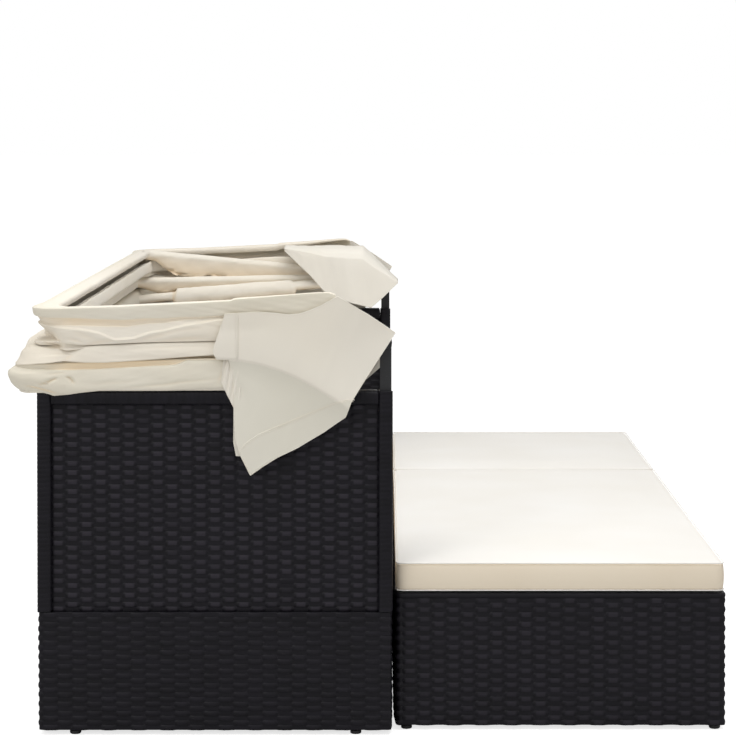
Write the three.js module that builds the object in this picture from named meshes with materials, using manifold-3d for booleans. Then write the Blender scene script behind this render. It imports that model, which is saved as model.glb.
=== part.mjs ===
// Outdoor daybed with a folding canopy: a woven sofa, a footstool that stands in front of it,
// loose cushions, and a cloth canopy on three bows that turn on one pin at each side.
// Millimetres. The sofa faces +X, its left side is +Y, and +Z is up.
// The canopy is modelled folded back on the arms, which is the rest position.

import * as THREE from "three";
import { mergeVertices } from "three/addons/utils/BufferGeometryUtils.js";
import Module from "manifold-3d";

const wasm = await Module();
wasm.setup();

// Clearances and edges
const seatGap = 0.3; // between pieces that touch
const runGap = 0.5; // between pieces that turn past each other
const overrun = 5; // how far a cutting shape runs past what it cuts
const edgeRound = 3; // worn edge of the wrapped rails
const cornerRound = 7;
const roundSteps = 3;
const mergeStep = 1e-3;

// Sofa
const sofaDepth = 670;
const sofaLength = 1900;
const sofaHeight = 650;
const wallThick = 40;
const postWide = 27;
const railTall = 26;
const bandTop = 232; // top of the lower woven band
const recess = 9; // how far the upper weave lies behind the rails
const weaveThick = 7;
const bandThick = 5;
const weavePitch = 27.5; // one stake of the weave to the next
const weaveGroove = 1.6;
const weaveFlatShares = [0.5]; // where the face of a ribbon stands out, in one pitch
const glideTall = 10;
const glideRadius = 11;
const glideStem = 4.5;
const glideInset = 70; // from the side frame's ends to its glides

// Seat deck of the sofa
const deckTop = 262;
const deckRim = 30;
const deckRimTall = 50;
const deckBars = 4;
const deckBarWide = 26;
const deckBarTall = 22;
const weldStep = 1;
const boltRadius = 4;
const boltHead = 7.5;
const boltHeadTall = 5;
const frameBoltDrop = 40; // below the deck top
const frameBoltReach = 22; // into the side frame
const frameBoltInset = 130;

// Footstool
const stoolGap = 6; // between the sofa and the footstool
const stoolDepth = 628;
const stoolInset = 37; // from the arms' outer faces to the footstool's ends
const stoolRim = 30;

// Cushions
const cushionThick = 55;
const cushionCrown = 7;
const cushionPull = 9; // how far a side draws in at its middle
const cushionRound = 13;
const cushionBevelShare = 0.45; // how much of that rounding the edge's slope takes
const cornerCutShare = 0.29; // how much a corner is cut back
const cushionStationShares = [-0.5, 0, 0.5];
const cushionLevelShares = [-1, -0.5, 0.5, 1];
const cushionLipShare = 0.25; // how far the top's edge lies below its rim
const cushionSplitShare = 0.645; // the long cushion's part of the run
const cushionGap = 3;
const cushionSide = 4; // from the walls round it

// Canopy posts and pivots
const postSize = 22;
const postPlug = 62; // length inside the arm
const pivotRise = 86; // above the arms
const postCrown = 18; // above the pivot
const nutRadius = 7;
const nutTall = 8;

// Bows
const tubeRadius = 9.5;
const tubeSides = 10;
const bowBend = 70; // bend radius of the tube's centre line
const bendSteps = 6;
const knuckleRadius = 12.5;
const knuckleArm = 52; // pivot to the mouth of the socket
const socketDepth = 30;
const knuckleSides = 10;
// The bars behind the seat: distance in front of the sofa's back face and rise above the arms
const frontBarX = 12;
const frontBarRise = 147;
const middleBarX = -26;
const middleBarRise = 73;
const rearBarX = -30;
const rearBarRise = 26.5;

// Folded cloth, stacked on the arms and behind the seat
const foldInset = 27; // from the arm's outer face to the inner face of the folds on it
const foldProud = 7; // how far the folds hang out past the arm
const foldBend = 46;
const foldGap = 1.5;
const frontFoldOut = -8;
const frontFoldIn = 35;
const middleFoldOut = -42;
const middleFoldIn = 2;
const rearFoldOut = -53;
const rearFoldIn = 9;
const rearFoldTop = 54; // rise above the arms, over the rear bar
const middleFoldTop = 91;
const frontFoldTop = 160;
const rearCuffTop = 66; // the same at the cuffs
const middleCuffTop = 96;
const frontCuffTop = 176;
const cuffX = 378; // where the gathered folds end on the arms
const hemX = 562; // where the front hem ends
const hemLow = 163; // underside of that end, above the arms
const hemHigh = 179;
const foldWave = 7; // depth of the slack waves along the folds
const waveCount = 9;

// Side flaps
const flapLeft = 333; // rearmost point of the flap, at its cuff
const flapWide = 342;
const flapDrop = 156; // from the arm's top down to the tip
const flapTall = 335;
const flapThick = 4;
const flapBulge = 13;
const ridgeShares = { start: 0.5, fall: 0.12, width: 0.24, least: 0.35 };
const pleatShare = 0.45; // depth of the pleats at the cuff, of the bulge
const pleatCount = 3;
const innerFlapStart = 12; // in front of the cuffs
const innerFlapReach = 33; // in front of the pivots
const innerFlapHang = 79; // below the pivots

// Placement worked out from the sizes above
const halfLength = sofaLength / 2;
const backHalf = halfLength - wallThick - seatGap;
const pivotX = sofaDepth - postWide / 2;
const pivotZ = sofaHeight + pivotRise;
const postY = halfLength - wallThick / 2;
const bowPitch = 2 * knuckleRadius + runGap;
const frontLegY = postY - postSize / 2 - runGap - knuckleRadius;
const stoolBack = sofaDepth + stoolGap;
const stoolFront = stoolBack + stoolDepth;
const stoolHalf = halfLength - stoolInset;
const foldSideIn = halfLength - foldInset;
const foldSideOut = halfLength + foldProud;

// Materials
const rattan = { color: 0x232227, roughness: 0.55, metalness: 0 };
const coatedSteel = { color: 0x1d1d20, roughness: 0.5, metalness: 0.3 };
const tubeMetal = { color: 0xb9b8b4, roughness: 0.35, metalness: 0.8 };
const boltMetal = { color: 0x8d8e90, roughness: 0.35, metalness: 1 };
const knucklePlastic = { color: 0x2a2a2c, roughness: 0.6, metalness: 0 };
const glidePlastic = { color: 0x161616, roughness: 0.7, metalness: 0 };
const cushionCloth = { color: 0xf3ede2, roughness: 0.95, metalness: 0 };
const canopyCloth = { color: 0xe8e1d2, roughness: 0.95, metalness: 0 };

const object = new THREE.Group();

// Adds a named piece. A right-hand piece, on the -Y side, is mirrored to make the left-hand one.
function add(name, geometry, finish, mirrored = false) {
  const mesh = new THREE.Mesh(geometry, new THREE.MeshStandardMaterial(finish));
  mesh.name = name;
  if (mirrored) mesh.scale.y = -1;
  object.add(mesh);
  return mesh;
}

function addPair(name, geometry, finish) {
  add(`right_${name}`, geometry, finish);
  add(`left_${name}`, geometry, finish, true);
}

// Solids for joining and cutting
function toSolid(geometry) {
  const bare = geometry.clone();
  bare.deleteAttribute("normal");
  bare.deleteAttribute("uv");
  const merged = mergeVertices(bare, mergeStep);
  return new wasm.Manifold(
    new wasm.Mesh({
      numProp: 3,
      vertProperties: merged.getAttribute("position").array,
      triVerts: new Uint32Array(merged.index.array),
    }),
  );
}

function fromSolid(solid) {
  const mesh = solid.getMesh();
  const geometry = new THREE.BufferGeometry();
  geometry.setAttribute("position", new THREE.BufferAttribute(mesh.vertProperties, 3));
  geometry.setIndex(new THREE.BufferAttribute(mesh.triVerts, 1));
  return geometry;
}

const join = (pieces) => fromSolid(pieces.map(toSolid).reduce((a, b) => a.add(b)));
const cut = (piece, tools) =>
  fromSolid(tools.map(toSolid).reduce((a, b) => a.subtract(b), toSolid(piece)));

// A square bar between two corners. Its points are set rather than moved there, so that bars
// that share a face share it exactly.
function bar(x0, x1, y0, y1, z0, z1) {
  const geometry = new THREE.BoxGeometry();
  const points = geometry.getAttribute("position");
  for (let i = 0; i < points.count; i++)
    points.setXYZ(
      i,
      points.getX(i) < 0 ? x0 : x1,
      points.getY(i) < 0 ? y0 : y1,
      points.getZ(i) < 0 ? z0 : z1,
    );
  return geometry;
}

// A round bar along Y from y0 to y1, centred on x, z
function pinAlongY(x, z, radius, y0, y1, sides = knuckleSides) {
  const geometry = new THREE.CylinderGeometry(radius, radius, y1 - y0, sides);
  return geometry.translate(x, (y0 + y1) / 2, z);
}

// A rectangle with rounded corners
function roundedRect(x0, x1, z0, z1, radius) {
  const shape = new THREE.Shape();
  const turn = Math.PI / 2;
  shape.absarc(x1 - radius, z0 + radius, radius, -turn, 0);
  shape.absarc(x1 - radius, z1 - radius, radius, 0, turn);
  shape.absarc(x0 + radius, z1 - radius, radius, turn, 2 * turn);
  shape.absarc(x0 + radius, z0 + radius, radius, 2 * turn, 3 * turn);
  shape.closePath();
  return shape;
}

// An upright frame of rails and posts with softened edges, in the XZ plane, from y = 0 to -thick
function windowFrame(width0, width1, low, high, windows, thick) {
  const plate = new THREE.ExtrudeGeometry(roundedRect(width0, width1, low, high, cornerRound), {
    depth: thick - 2 * edgeRound,
    bevelSize: edgeRound,
    bevelThickness: edgeRound,
    bevelOffset: -edgeRound,
    bevelSegments: 1,
    curveSegments: roundSteps,
  });
  plate.rotateX(Math.PI / 2).translate(0, -edgeRound, 0);
  return cut(
    plate,
    windows.map(([x0, x1, z0, z1]) => bar(x0, x1, -thick - overrun, overrun, z0, z1)),
  );
}

// A woven panel: ribbons that bow out over upright stakes, with a groove between each two.
// It runs from x = 0 to length, its outer face lies at y = 0 and its back at y = thick.
function wovenPanel(length, low, high, thick, bothFaces = false) {
  const count = Math.round(length / weavePitch);
  const pitch = length / count;
  const front = [[0, weaveGroove]];
  const back = [[0, bothFaces ? thick - weaveGroove : thick]];
  for (let i = 0; i < count; i++) {
    for (const share of weaveFlatShares) {
      front.push([(i + share) * pitch, 0]);
      if (bothFaces) back.push([(i + share) * pitch, thick]);
    }
    front.push([(i + 1) * pitch, weaveGroove]);
    if (bothFaces) back.push([(i + 1) * pitch, thick - weaveGroove]);
  }
  if (!bothFaces) back.push([length, thick]);
  const outline = [...front, ...back.reverse()].map(([x, y]) => new THREE.Vector2(x, y));
  const geometry = new THREE.ExtrudeGeometry(new THREE.Shape(outline), {
    depth: high - low,
    bevelEnabled: false,
  });
  return geometry.translate(0, 0, low);
}

// A closed block on a grid of stations in each direction, with every point moved by a function
function gridBlock(us, vs, ws, place) {
  const positions = [];
  const point = (u, v, w) => place(u, v, w).toArray();
  const quad = (a, b, c, d) => positions.push(...a, ...b, ...c, ...a, ...c, ...d);
  const pairs = (list) => list.slice(1).map((end, i) => [list[i], end]);
  const ends = (list) => [list[0], list[list.length - 1]];
  const [u0, u1] = ends(us);
  const [v0, v1] = ends(vs);
  const [w0, w1] = ends(ws);
  for (const [a, b] of pairs(us))
    for (const [c, d] of pairs(vs)) {
      quad(point(a, c, w1), point(b, c, w1), point(b, d, w1), point(a, d, w1));
      quad(point(a, c, w0), point(a, d, w0), point(b, d, w0), point(b, c, w0));
    }
  for (const [a, b] of pairs(us))
    for (const [c, d] of pairs(ws)) {
      quad(point(a, v0, c), point(b, v0, c), point(b, v0, d), point(a, v0, d));
      quad(point(a, v1, c), point(a, v1, d), point(b, v1, d), point(b, v1, c));
    }
  for (const [a, b] of pairs(vs))
    for (const [c, d] of pairs(ws)) {
      quad(point(u0, a, c), point(u0, a, d), point(u0, b, d), point(u0, b, c));
      quad(point(u1, a, c), point(u1, b, c), point(u1, b, d), point(u1, a, d));
    }
  const geometry = new THREE.BufferGeometry();
  geometry.setAttribute("position", new THREE.Float32BufferAttribute(positions, 3));
  return geometry;
}

// A skin over a row of closed rings, with a cap on the first and the last
function loft(rings, capOutline) {
  const positions = [];
  const count = rings[0].length;
  for (let i = 1; i < rings.length; i++)
    for (let j = 0; j < count; j++) {
      const k = (j + 1) % count;
      const [a, b, c, d] = [rings[i - 1][j], rings[i - 1][k], rings[i][k], rings[i][j]];
      for (const p of [a, b, c, a, c, d]) positions.push(p.x, p.y, p.z);
    }
  const caps = THREE.ShapeUtils.triangulateShape(capOutline, []);
  const first = rings[0];
  const last = rings[rings.length - 1];
  for (const [a, b, c] of caps) {
    for (const p of [first[c], first[b], first[a]]) positions.push(p.x, p.y, p.z);
    for (const p of [last[a], last[b], last[c]]) positions.push(p.x, p.y, p.z);
  }
  const geometry = new THREE.BufferGeometry();
  geometry.setAttribute("position", new THREE.Float32BufferAttribute(positions, 3));
  return geometry;
}

// Sofa: side frames, with a socket for the canopy post and blind holes for the frame bolts
const glideTop = glideTall;
const weaveLow = bandTop + seatGap;
const weaveHigh = sofaHeight - railTall - seatGap;
const frameBoltZ = deckTop - frameBoltDrop;
const frameBoltXs = [frameBoltInset, sofaDepth - frameBoltInset];

function sideFrame() {
  const frame = windowFrame(
    0,
    sofaDepth,
    glideTop,
    sofaHeight,
    [
      [postWide, sofaDepth - postWide, bandTop, sofaHeight - railTall],
      [postWide, sofaDepth - postWide, glideTop + railTall, bandTop - railTall],
    ],
    wallThick,
  ).translate(0, wallThick - halfLength, 0);
  const bandSeat = bar(
    -overrun,
    sofaDepth + overrun,
    -halfLength - overrun,
    bandThick + seatGap - halfLength,
    0,
    bandTop,
  );
  const half = postSize / 2 + seatGap;
  const socket = bar(
    pivotX - half,
    pivotX + half,
    -postY - half,
    -postY + half,
    sofaHeight - postPlug - seatGap,
    sofaHeight + overrun,
  );
  const bores = frameBoltXs.map((x) =>
    pinAlongY(
      x,
      frameBoltZ,
      boltRadius + seatGap,
      wallThick - halfLength - frameBoltReach - seatGap,
      wallThick - halfLength + overrun,
    ),
  );
  return cut(frame, [bandSeat, socket, ...bores]);
}

addPair("side_frame", sideFrame(), rattan);

const sideWeaveWidth = sofaDepth - 2 * postWide - 2 * seatGap;
addPair(
  "side_weave",
  wovenPanel(sideWeaveWidth, weaveLow, weaveHigh, weaveThick, true).translate(
    postWide + seatGap,
    recess - halfLength,
    0,
  ),
  rattan,
);
addPair(
  "skirt_weave",
  wovenPanel(sofaDepth, glideTop, bandTop - seatGap, bandThick).translate(
    0,
    -halfLength,
    0,
  ),
  rattan,
);

// Turns a piece made along X, with its face towards -Y, so that it runs along Y and faces -X
const alongY = (geometry) => geometry.rotateZ(-Math.PI / 2);

// The back: one frame with a middle post behind the weave
function backFrame() {
  const middle = postWide / 2;
  const inner = backHalf - postWide;
  const windows = [];
  for (const [y0, y1] of [
    [-inner, -middle],
    [middle, inner],
  ]) {
    windows.push([y0, y1, bandTop, sofaHeight - railTall]);
    windows.push([y0, y1, glideTop + railTall, bandTop - railTall]);
  }
  const frame = alongY(
    windowFrame(-backHalf, backHalf, glideTop, sofaHeight, windows, wallThick),
  ).translate(wallThick, 0, 0);
  const weaveSeat = bar(
    -overrun,
    recess + weaveThick + seatGap,
    -inner,
    inner,
    bandTop,
    sofaHeight - railTall,
  );
  const bandSeat = bar(
    -overrun,
    bandThick + seatGap,
    -backHalf - overrun,
    backHalf + overrun,
    0,
    bandTop,
  );
  return cut(frame, [weaveSeat, bandSeat]);
}

add("back_frame", backFrame(), rattan);
const backWeaveLength = 2 * (backHalf - postWide - seatGap);
add(
  "back_weave",
  alongY(
    wovenPanel(backWeaveLength, weaveLow, weaveHigh, weaveThick).translate(
      -backWeaveLength / 2,
      recess,
      0,
    ),
  ),
  rattan,
);
add(
  "back_skirt_weave",
  alongY(
    wovenPanel(2 * backHalf, glideTop, bandTop - seatGap, bandThick).translate(
      -backHalf,
      0,
      0,
    ),
  ),
  rattan,
);

// A corner list of a rectangle, for an outline or a hole
const corners = (x0, x1, y0, y1) =>
  [
    [x0, y0],
    [x1, y0],
    [x1, y1],
    [x0, y1],
  ].map(([x, y]) => new THREE.Vector2(x, y));

// A welded deck: a mitred rim round x0..x1 and -half..half, with even cross bars. Bars and legs
// end inside the rim tubes that they meet, and stand back from their faces by the weld step.
function deck(x0, x1, half, rim, rimTall) {
  const ring = new THREE.Shape(corners(x0, x1, -half, half));
  ring.holes.push(new THREE.Path(corners(x0 + rim, x1 - rim, rim - half, half - rim)));
  const low = deckTop - rimTall;
  const pieces = [
    new THREE.ExtrudeGeometry(ring, { depth: rimTall, bevelEnabled: false }).translate(0, 0, low),
  ];
  const bay = (2 * half) / (deckBars + 1);
  const barTop = deckTop - weldStep;
  for (let i = 1; i <= deckBars; i++) {
    const y0 = i * bay - half - deckBarWide / 2;
    const [start, end] = [x0 + rim / 2, x1 - rim / 2];
    pieces.push(bar(start, end, y0, y0 + deckBarWide, barTop - deckBarTall, barTop));
  }
  return pieces;
}

// Three legs under a rim tube that starts at x, at its ends and its middle
function legs(x, half, rim, top) {
  const wide = rim - 2 * weldStep;
  const starts = [weldStep - half, -wide / 2, half - weldStep - wide];
  const start = x + weldStep;
  return starts.map((y) => bar(start, start + wide, y, y + wide, glideTop, top));
}

// The sofa's welded deck, which stands on its front legs and is bolted to the side frames
const deckBack = wallThick + seatGap;
const deckFront = sofaDepth - bandThick - seatGap;

function seatFrame() {
  const frame = join(deck(deckBack, deckFront, backHalf, deckRim, deckRimTall));
  const bores = [];
  for (const x of frameBoltXs)
    for (const y of [-backHalf - overrun, backHalf - deckRim - overrun]) {
      const end = y + deckRim + 2 * overrun;
      bores.push(pinAlongY(x, frameBoltZ, boltRadius + seatGap, y, end));
    }
  return cut(frame, bores);
}

add("seat_frame", seatFrame(), coatedSteel);

// The front legs, welded to a bottom rail
function seatLegs() {
  const x = deckFront - deckRim;
  const railLow = glideTop + weldStep;
  return join([
    ...legs(x, backHalf, deckRim, deckTop - deckRimTall - seatGap),
    bar(x, deckFront, -backHalf, backHalf, railLow, glideTop + railTall),
  ]);
}

add("seat_legs", seatLegs(), coatedSteel);
add(
  "seat_front_weave",
  wovenPanel(2 * backHalf, glideTop, deckTop, bandThick)
    .rotateZ(Math.PI / 2)
    .translate(sofaDepth, -backHalf, 0),
  rattan,
);

// Frame bolts, from inside the deck rim into the side frames
function frameBolt(x) {
  const start = deckRim - backHalf + seatGap;
  const end = wallThick - halfLength - frameBoltReach;
  const shank = pinAlongY(x, frameBoltZ, boltRadius, end, start + boltHeadTall / 2);
  const head = pinAlongY(x, frameBoltZ, boltHead, start, start + boltHeadTall, 6);
  return join([shank, head]);
}

frameBoltXs.forEach((x, i) => {
  const place = i === 0 ? "rear" : "front";
  addPair(`${place}_frame_bolt`, frameBolt(x), boltMetal);
});

// Glides: a foot with a soft edge, tapping into the rail above it
function glide(x, y) {
  const stepShares = { edge: 0.86, rise: 0.2, shoulder: 0.62 };
  const profile = [
    [0, 0],
    [glideRadius * stepShares.edge, 0],
    [glideRadius, glideTall * stepShares.rise],
    [glideRadius, glideTall * stepShares.shoulder],
    [glideStem, glideTall - seatGap],
    [0, glideTall - seatGap],
  ].map(([r, z]) => new THREE.Vector2(r, z));
  return new THREE.LatheGeometry(profile, tubeSides).rotateX(Math.PI / 2).translate(x, y, 0);
}

const sofaGlides = [
  [glideInset, -postY],
  [sofaDepth - glideInset, -postY],
  [glideInset, postY],
  [sofaDepth - glideInset, postY],
  [(bandThick + seatGap + wallThick) / 2, 0],
  [deckFront - deckRim / 2, 0],
];
sofaGlides.forEach(([x, y], i) => add(`sofa_glide_${i + 1}`, glide(x, y), glidePlastic));

// Footstool: a welded frame on six legs, with a woven skirt on each side
const stoolIn = bandThick + seatGap;

function footstoolFrame() {
  const [x0, x1] = [stoolBack + stoolIn, stoolFront - stoolIn];
  const half = stoolHalf - stoolIn;
  const legTop = deckTop - stoolRim / 2;
  return join([
    ...deck(x0, x1, half, stoolRim, stoolRim),
    ...legs(x0, half, stoolRim, legTop),
    ...legs(x1 - stoolRim, half, stoolRim, legTop),
  ]);
}

add("footstool_frame", footstoolFrame(), coatedSteel);
add(
  "footstool_front_weave",
  wovenPanel(2 * stoolHalf, glideTop, deckTop, bandThick)
    .rotateZ(Math.PI / 2)
    .translate(stoolFront, -stoolHalf, 0),
  rattan,
);
add(
  "footstool_back_weave",
  alongY(
    wovenPanel(2 * stoolHalf, glideTop, deckTop, bandThick).translate(-stoolHalf, 0, 0),
  ).translate(stoolBack, 0, 0),
  rattan,
);
const stoolSideWidth = stoolDepth - 2 * stoolIn;
const stoolSide = wovenPanel(stoolSideWidth, glideTop, deckTop, bandThick);
stoolSide.translate(stoolBack + stoolIn, -stoolHalf, 0);
add("footstool_right_weave", stoolSide, rattan);
add("footstool_left_weave", stoolSide, rattan, true);

const stoolGlideY = stoolHalf - stoolIn - stoolRim / 2;
const stoolLegX = stoolIn + stoolRim / 2;
const stoolGlides = [];
for (const y of [-stoolGlideY, 0, stoolGlideY])
  for (const x of [stoolBack + stoolLegX, stoolFront - stoolLegX]) stoolGlides.push([x, y]);
stoolGlides.forEach(([x, y], i) => add(`footstool_glide_${i + 1}`, glide(x, y), glidePlastic));

// Cushions: crowned, with sides that draw in between the corners and a flat underside
function cushion(x0, x1, y0, y1) {
  const low = deckTop + seatGap;
  const flatTop = low + cushionThick - cushionCrown;
  const bevel = cushionRound * cushionBevelShare;
  const [cx, cy] = [(x0 + x1) / 2, (y0 + y1) / 2];
  const [hx, hy] = [(x1 - x0) / 2, (y1 - y0) / 2];
  const stations = (half) => {
    const nearEdge = 1 - cushionRound / half;
    return [-1, -nearEdge, ...cushionStationShares, nearEdge, 1];
  };
  // The most that a point may reach: less on the top and bottom, and less at the corners
  const reach = (share, half, onCap, atCorner) => {
    const most = half - (onCap ? bevel : 0) - (atCorner ? cushionRound * cornerCutShare : 0);
    return Math.sign(share) * Math.min(Math.abs(share) * half, most);
  };
  const place = (u, v, w) => {
    const onCap = Math.abs(w) === 1;
    const onRim = Math.max(Math.abs(u), Math.abs(v)) === 1;
    const atCorner = Math.min(Math.abs(u), Math.abs(v)) === 1;
    const x = reach(u, hx, onCap, atCorner) - cushionPull * (1 - v ** 2) * u ** 7;
    const y = reach(v, hy, onCap, atCorner) - cushionPull * (1 - u ** 2) * v ** 7;
    const crown = cushionCrown * (1 - u ** 4) * (1 - v ** 4);
    let z = w > 0 ? flatTop - bevel : low + bevel;
    if (onCap) z = w > 0 ? flatTop + crown : low;
    if (onCap && onRim && w > 0) z = flatTop - bevel * cushionLipShare;
    return new THREE.Vector3(cx + x, cy + y, z);
  };
  return gridBlock(stations(hx), stations(hy), cushionLevelShares, place);
}

// Two cushions of unequal length side by side, the long one on the right
function addCushions(name, x0, x1, half) {
  const run = 2 * half - cushionGap;
  const seam = run * cushionSplitShare - half;
  add(`${name}_cushion_long`, cushion(x0, x1, -half, seam), cushionCloth);
  add(`${name}_cushion_short`, cushion(x0, x1, seam + cushionGap, half), cushionCloth);
}

addCushions("seat", wallThick + cushionSide, sofaDepth - cushionSide, backHalf - cushionSide);
addCushions("footstool", stoolBack, stoolFront - cushionSide, stoolHalf);

// Canopy posts, plugged into the arms, with a rounded head round the pivot
function canopyPost() {
  const half = postSize / 2;
  const head = new THREE.Shape();
  head.moveTo(-half, -pivotRise - postPlug);
  head.lineTo(half, -pivotRise - postPlug);
  head.lineTo(half, postCrown - half);
  head.absarc(0, postCrown - half, half, 0, Math.PI);
  head.lineTo(-half, -pivotRise - postPlug);
  const post = new THREE.ExtrudeGeometry(head, {
    depth: postSize,
    bevelEnabled: false,
    curveSegments: tubeSides / 2,
  });
  post.rotateX(Math.PI / 2).translate(pivotX, half - postY, pivotZ);
  const bore = pinAlongY(
    pivotX,
    pivotZ,
    boltRadius + seatGap,
    -postY - half - overrun,
    -postY + half + overrun,
  );
  return cut(post, [bore]);
}

addPair("canopy_post", canopyPost(), rattan);

const bowPlanes = [frontLegY, frontLegY - bowPitch, frontLegY - 2 * bowPitch];
const innermost = bowPlanes[2] - knuckleRadius;

function pivotBolt() {
  const outer = -postY - postSize / 2 - seatGap;
  const end = -innermost + nutTall + seatGap;
  const shank = pinAlongY(pivotX, pivotZ, boltRadius, outer - boltHeadTall / 2, end);
  const domeShares = [1, 0.94, 0.7, 0];
  const riseShares = [0, 0.5, 0.88, 1];
  const dome = domeShares.map(
    (share, i) => new THREE.Vector2(boltHead * share, boltHeadTall * riseShares[i]),
  );
  const head = new THREE.LatheGeometry([new THREE.Vector2(0, 0), ...dome], knuckleSides);
  head.rotateX(Math.PI).translate(pivotX, outer, pivotZ);
  return join([shank, head]);
}

function pivotNut() {
  const start = -innermost + runGap;
  const nut = pinAlongY(pivotX, pivotZ, nutRadius, start, start + nutTall, 6);
  const bore = pinAlongY(
    pivotX,
    pivotZ,
    boltRadius + seatGap,
    start - overrun,
    start + nutTall + overrun,
  );
  return cut(nut, [bore]);
}

addPair("pivot_bolt", pivotBolt(), boltMetal);
addPair("pivot_nut", pivotNut(), boltMetal);

// A line through chosen stations, so that a tube has rings only where it bends
class StationPath extends THREE.Curve {
  constructor(points) {
    super();
    this.points = points;
  }

  at(u) {
    return Math.round(u * (this.points.length - 1));
  }

  getPointAt(u, target = new THREE.Vector3()) {
    return target.copy(this.points[this.at(u)]);
  }

  getSpacedPoints() {
    return this.points;
  }

  getTangentAt(u, target = new THREE.Vector3()) {
    const i = this.at(u);
    const before = this.points[Math.max(i - 1, 0)];
    const after = this.points[Math.min(i + 1, this.points.length - 1)];
    const into = this.points[i].clone().sub(before).normalize();
    const out = after.clone().sub(this.points[i]).normalize();
    return target.addVectors(into, out).normalize();
  }
}

// A bow lies in a plane through the pivots: the bar's place gives its radius and its tilt
function bowOf(barX, barRise, plane) {
  const run = pivotX - barX;
  const rise = barRise - pivotRise;
  return { radius: Math.hypot(run, rise), tilt: Math.atan2(rise, run), legY: bowPlanes[plane] };
}

const bows = {
  front: bowOf(frontBarX, frontBarRise, 0),
  middle: bowOf(middleBarX, middleBarRise, 1),
  rear: bowOf(rearBarX, rearBarRise, 2),
};

// Turns a piece made flat, with the bow pointing towards -X from the pivot, to its folded place
const toBowPlace = (geometry, bow) =>
  geometry.rotateY(bow.tilt).translate(pivotX, 0, pivotZ);

function bowTube(bow, radius) {
  const start = knuckleArm - socketDepth + seatGap;
  const points = [new THREE.Vector3(-start, -bow.legY, 0)];
  for (const side of [-1, 1])
    for (let i = 0; i <= bendSteps; i++) {
      const share = side < 0 ? i / bendSteps : 1 - i / bendSteps;
      const turn = (share * Math.PI) / 2;
      points.push(
        new THREE.Vector3(
          -bow.radius + bowBend * (1 - Math.sin(turn)),
          side * (bow.legY - bowBend * (1 - Math.cos(turn))),
          0,
        ),
      );
    }
  points.push(new THREE.Vector3(-start, bow.legY, 0));
  const circle = new THREE.Shape().absarc(0, 0, radius, 0, 2 * Math.PI);
  const tube = new THREE.ExtrudeGeometry(circle, {
    steps: points.length - 1,
    curveSegments: tubeSides / 2,
    extrudePath: new StationPath(points),
  });
  return toBowPlace(tube, bow);
}

// The knuckle on a bow's end: an eye round the pivot bolt and a socket for the tube
function knuckle(bow) {
  const y = -bow.legY;
  const eye = pinAlongY(0, 0, knuckleRadius, y - knuckleRadius, y + knuckleRadius);
  const arm = new THREE.CylinderGeometry(
    knuckleRadius,
    knuckleRadius,
    knuckleArm,
    knuckleSides,
  )
    .rotateZ(Math.PI / 2)
    .translate(-knuckleArm / 2, y, 0);
  const socket = new THREE.CylinderGeometry(
    tubeRadius + seatGap,
    tubeRadius + seatGap,
    socketDepth + overrun,
    knuckleSides,
  )
    .rotateZ(Math.PI / 2)
    .translate(-knuckleArm + (socketDepth - overrun) / 2, y, 0);
  const boltReach = knuckleRadius + overrun;
  const bore = pinAlongY(0, 0, boltRadius + seatGap, y - boltReach, y + boltReach);
  const side = bar(
    -knuckleArm - overrun,
    knuckleRadius + overrun,
    y + knuckleRadius,
    y + 2 * knuckleRadius,
    -2 * knuckleRadius,
    2 * knuckleRadius,
  );
  return toBowPlace(cut(join([eye, arm]), [socket, bore, side]), bow);
}

for (const [name, bow] of Object.entries(bows)) {
  add(`${name}_bow_tube`, bowTube(bow, tubeRadius), tubeMetal);
  addPair(`${name}_knuckle`, knuckle(bow), knucklePlastic);
}

// Sections of the folded cloth. The first share runs from the inner face, -1, to the outer, 1,
// and the second from the underside, 0, to the top, 1.
const frontFoldShares = [
  [-0.9, 0.06],
  [-0.2, 0],
  [0.7, 0.02],
  [0.86, 0.14],
  [0.5, 0.3],
  [0.3, 0.44],
  [0.62, 0.56],
  [1, 0.6],
  [1, 0.94],
  [0.6, 1],
  [-0.5, 1],
  [-1, 0.86],
  [-0.86, 0.5],
];
const middleFoldShares = [
  [-0.92, 0.14],
  [-0.4, 0],
  [0.5, 0],
  [0.9, 0.2],
  [1, 0.52],
  [0.84, 0.86],
  [0.3, 1],
  [-0.5, 1],
  [-1, 0.66],
];
const rearFoldShares = [
  [-0.96, 0.1],
  [-0.5, 0],
  [0.6, 0],
  [0.92, 0.1],
  [1, 0.3],
  [0.82, 0.5],
  [0.7, 0.56],
  [0.92, 0.66],
  [0.94, 0.86],
  [0.6, 1],
  [-0.5, 1],
  [-0.94, 0.84],
  [-0.8, 0.5],
];

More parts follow.
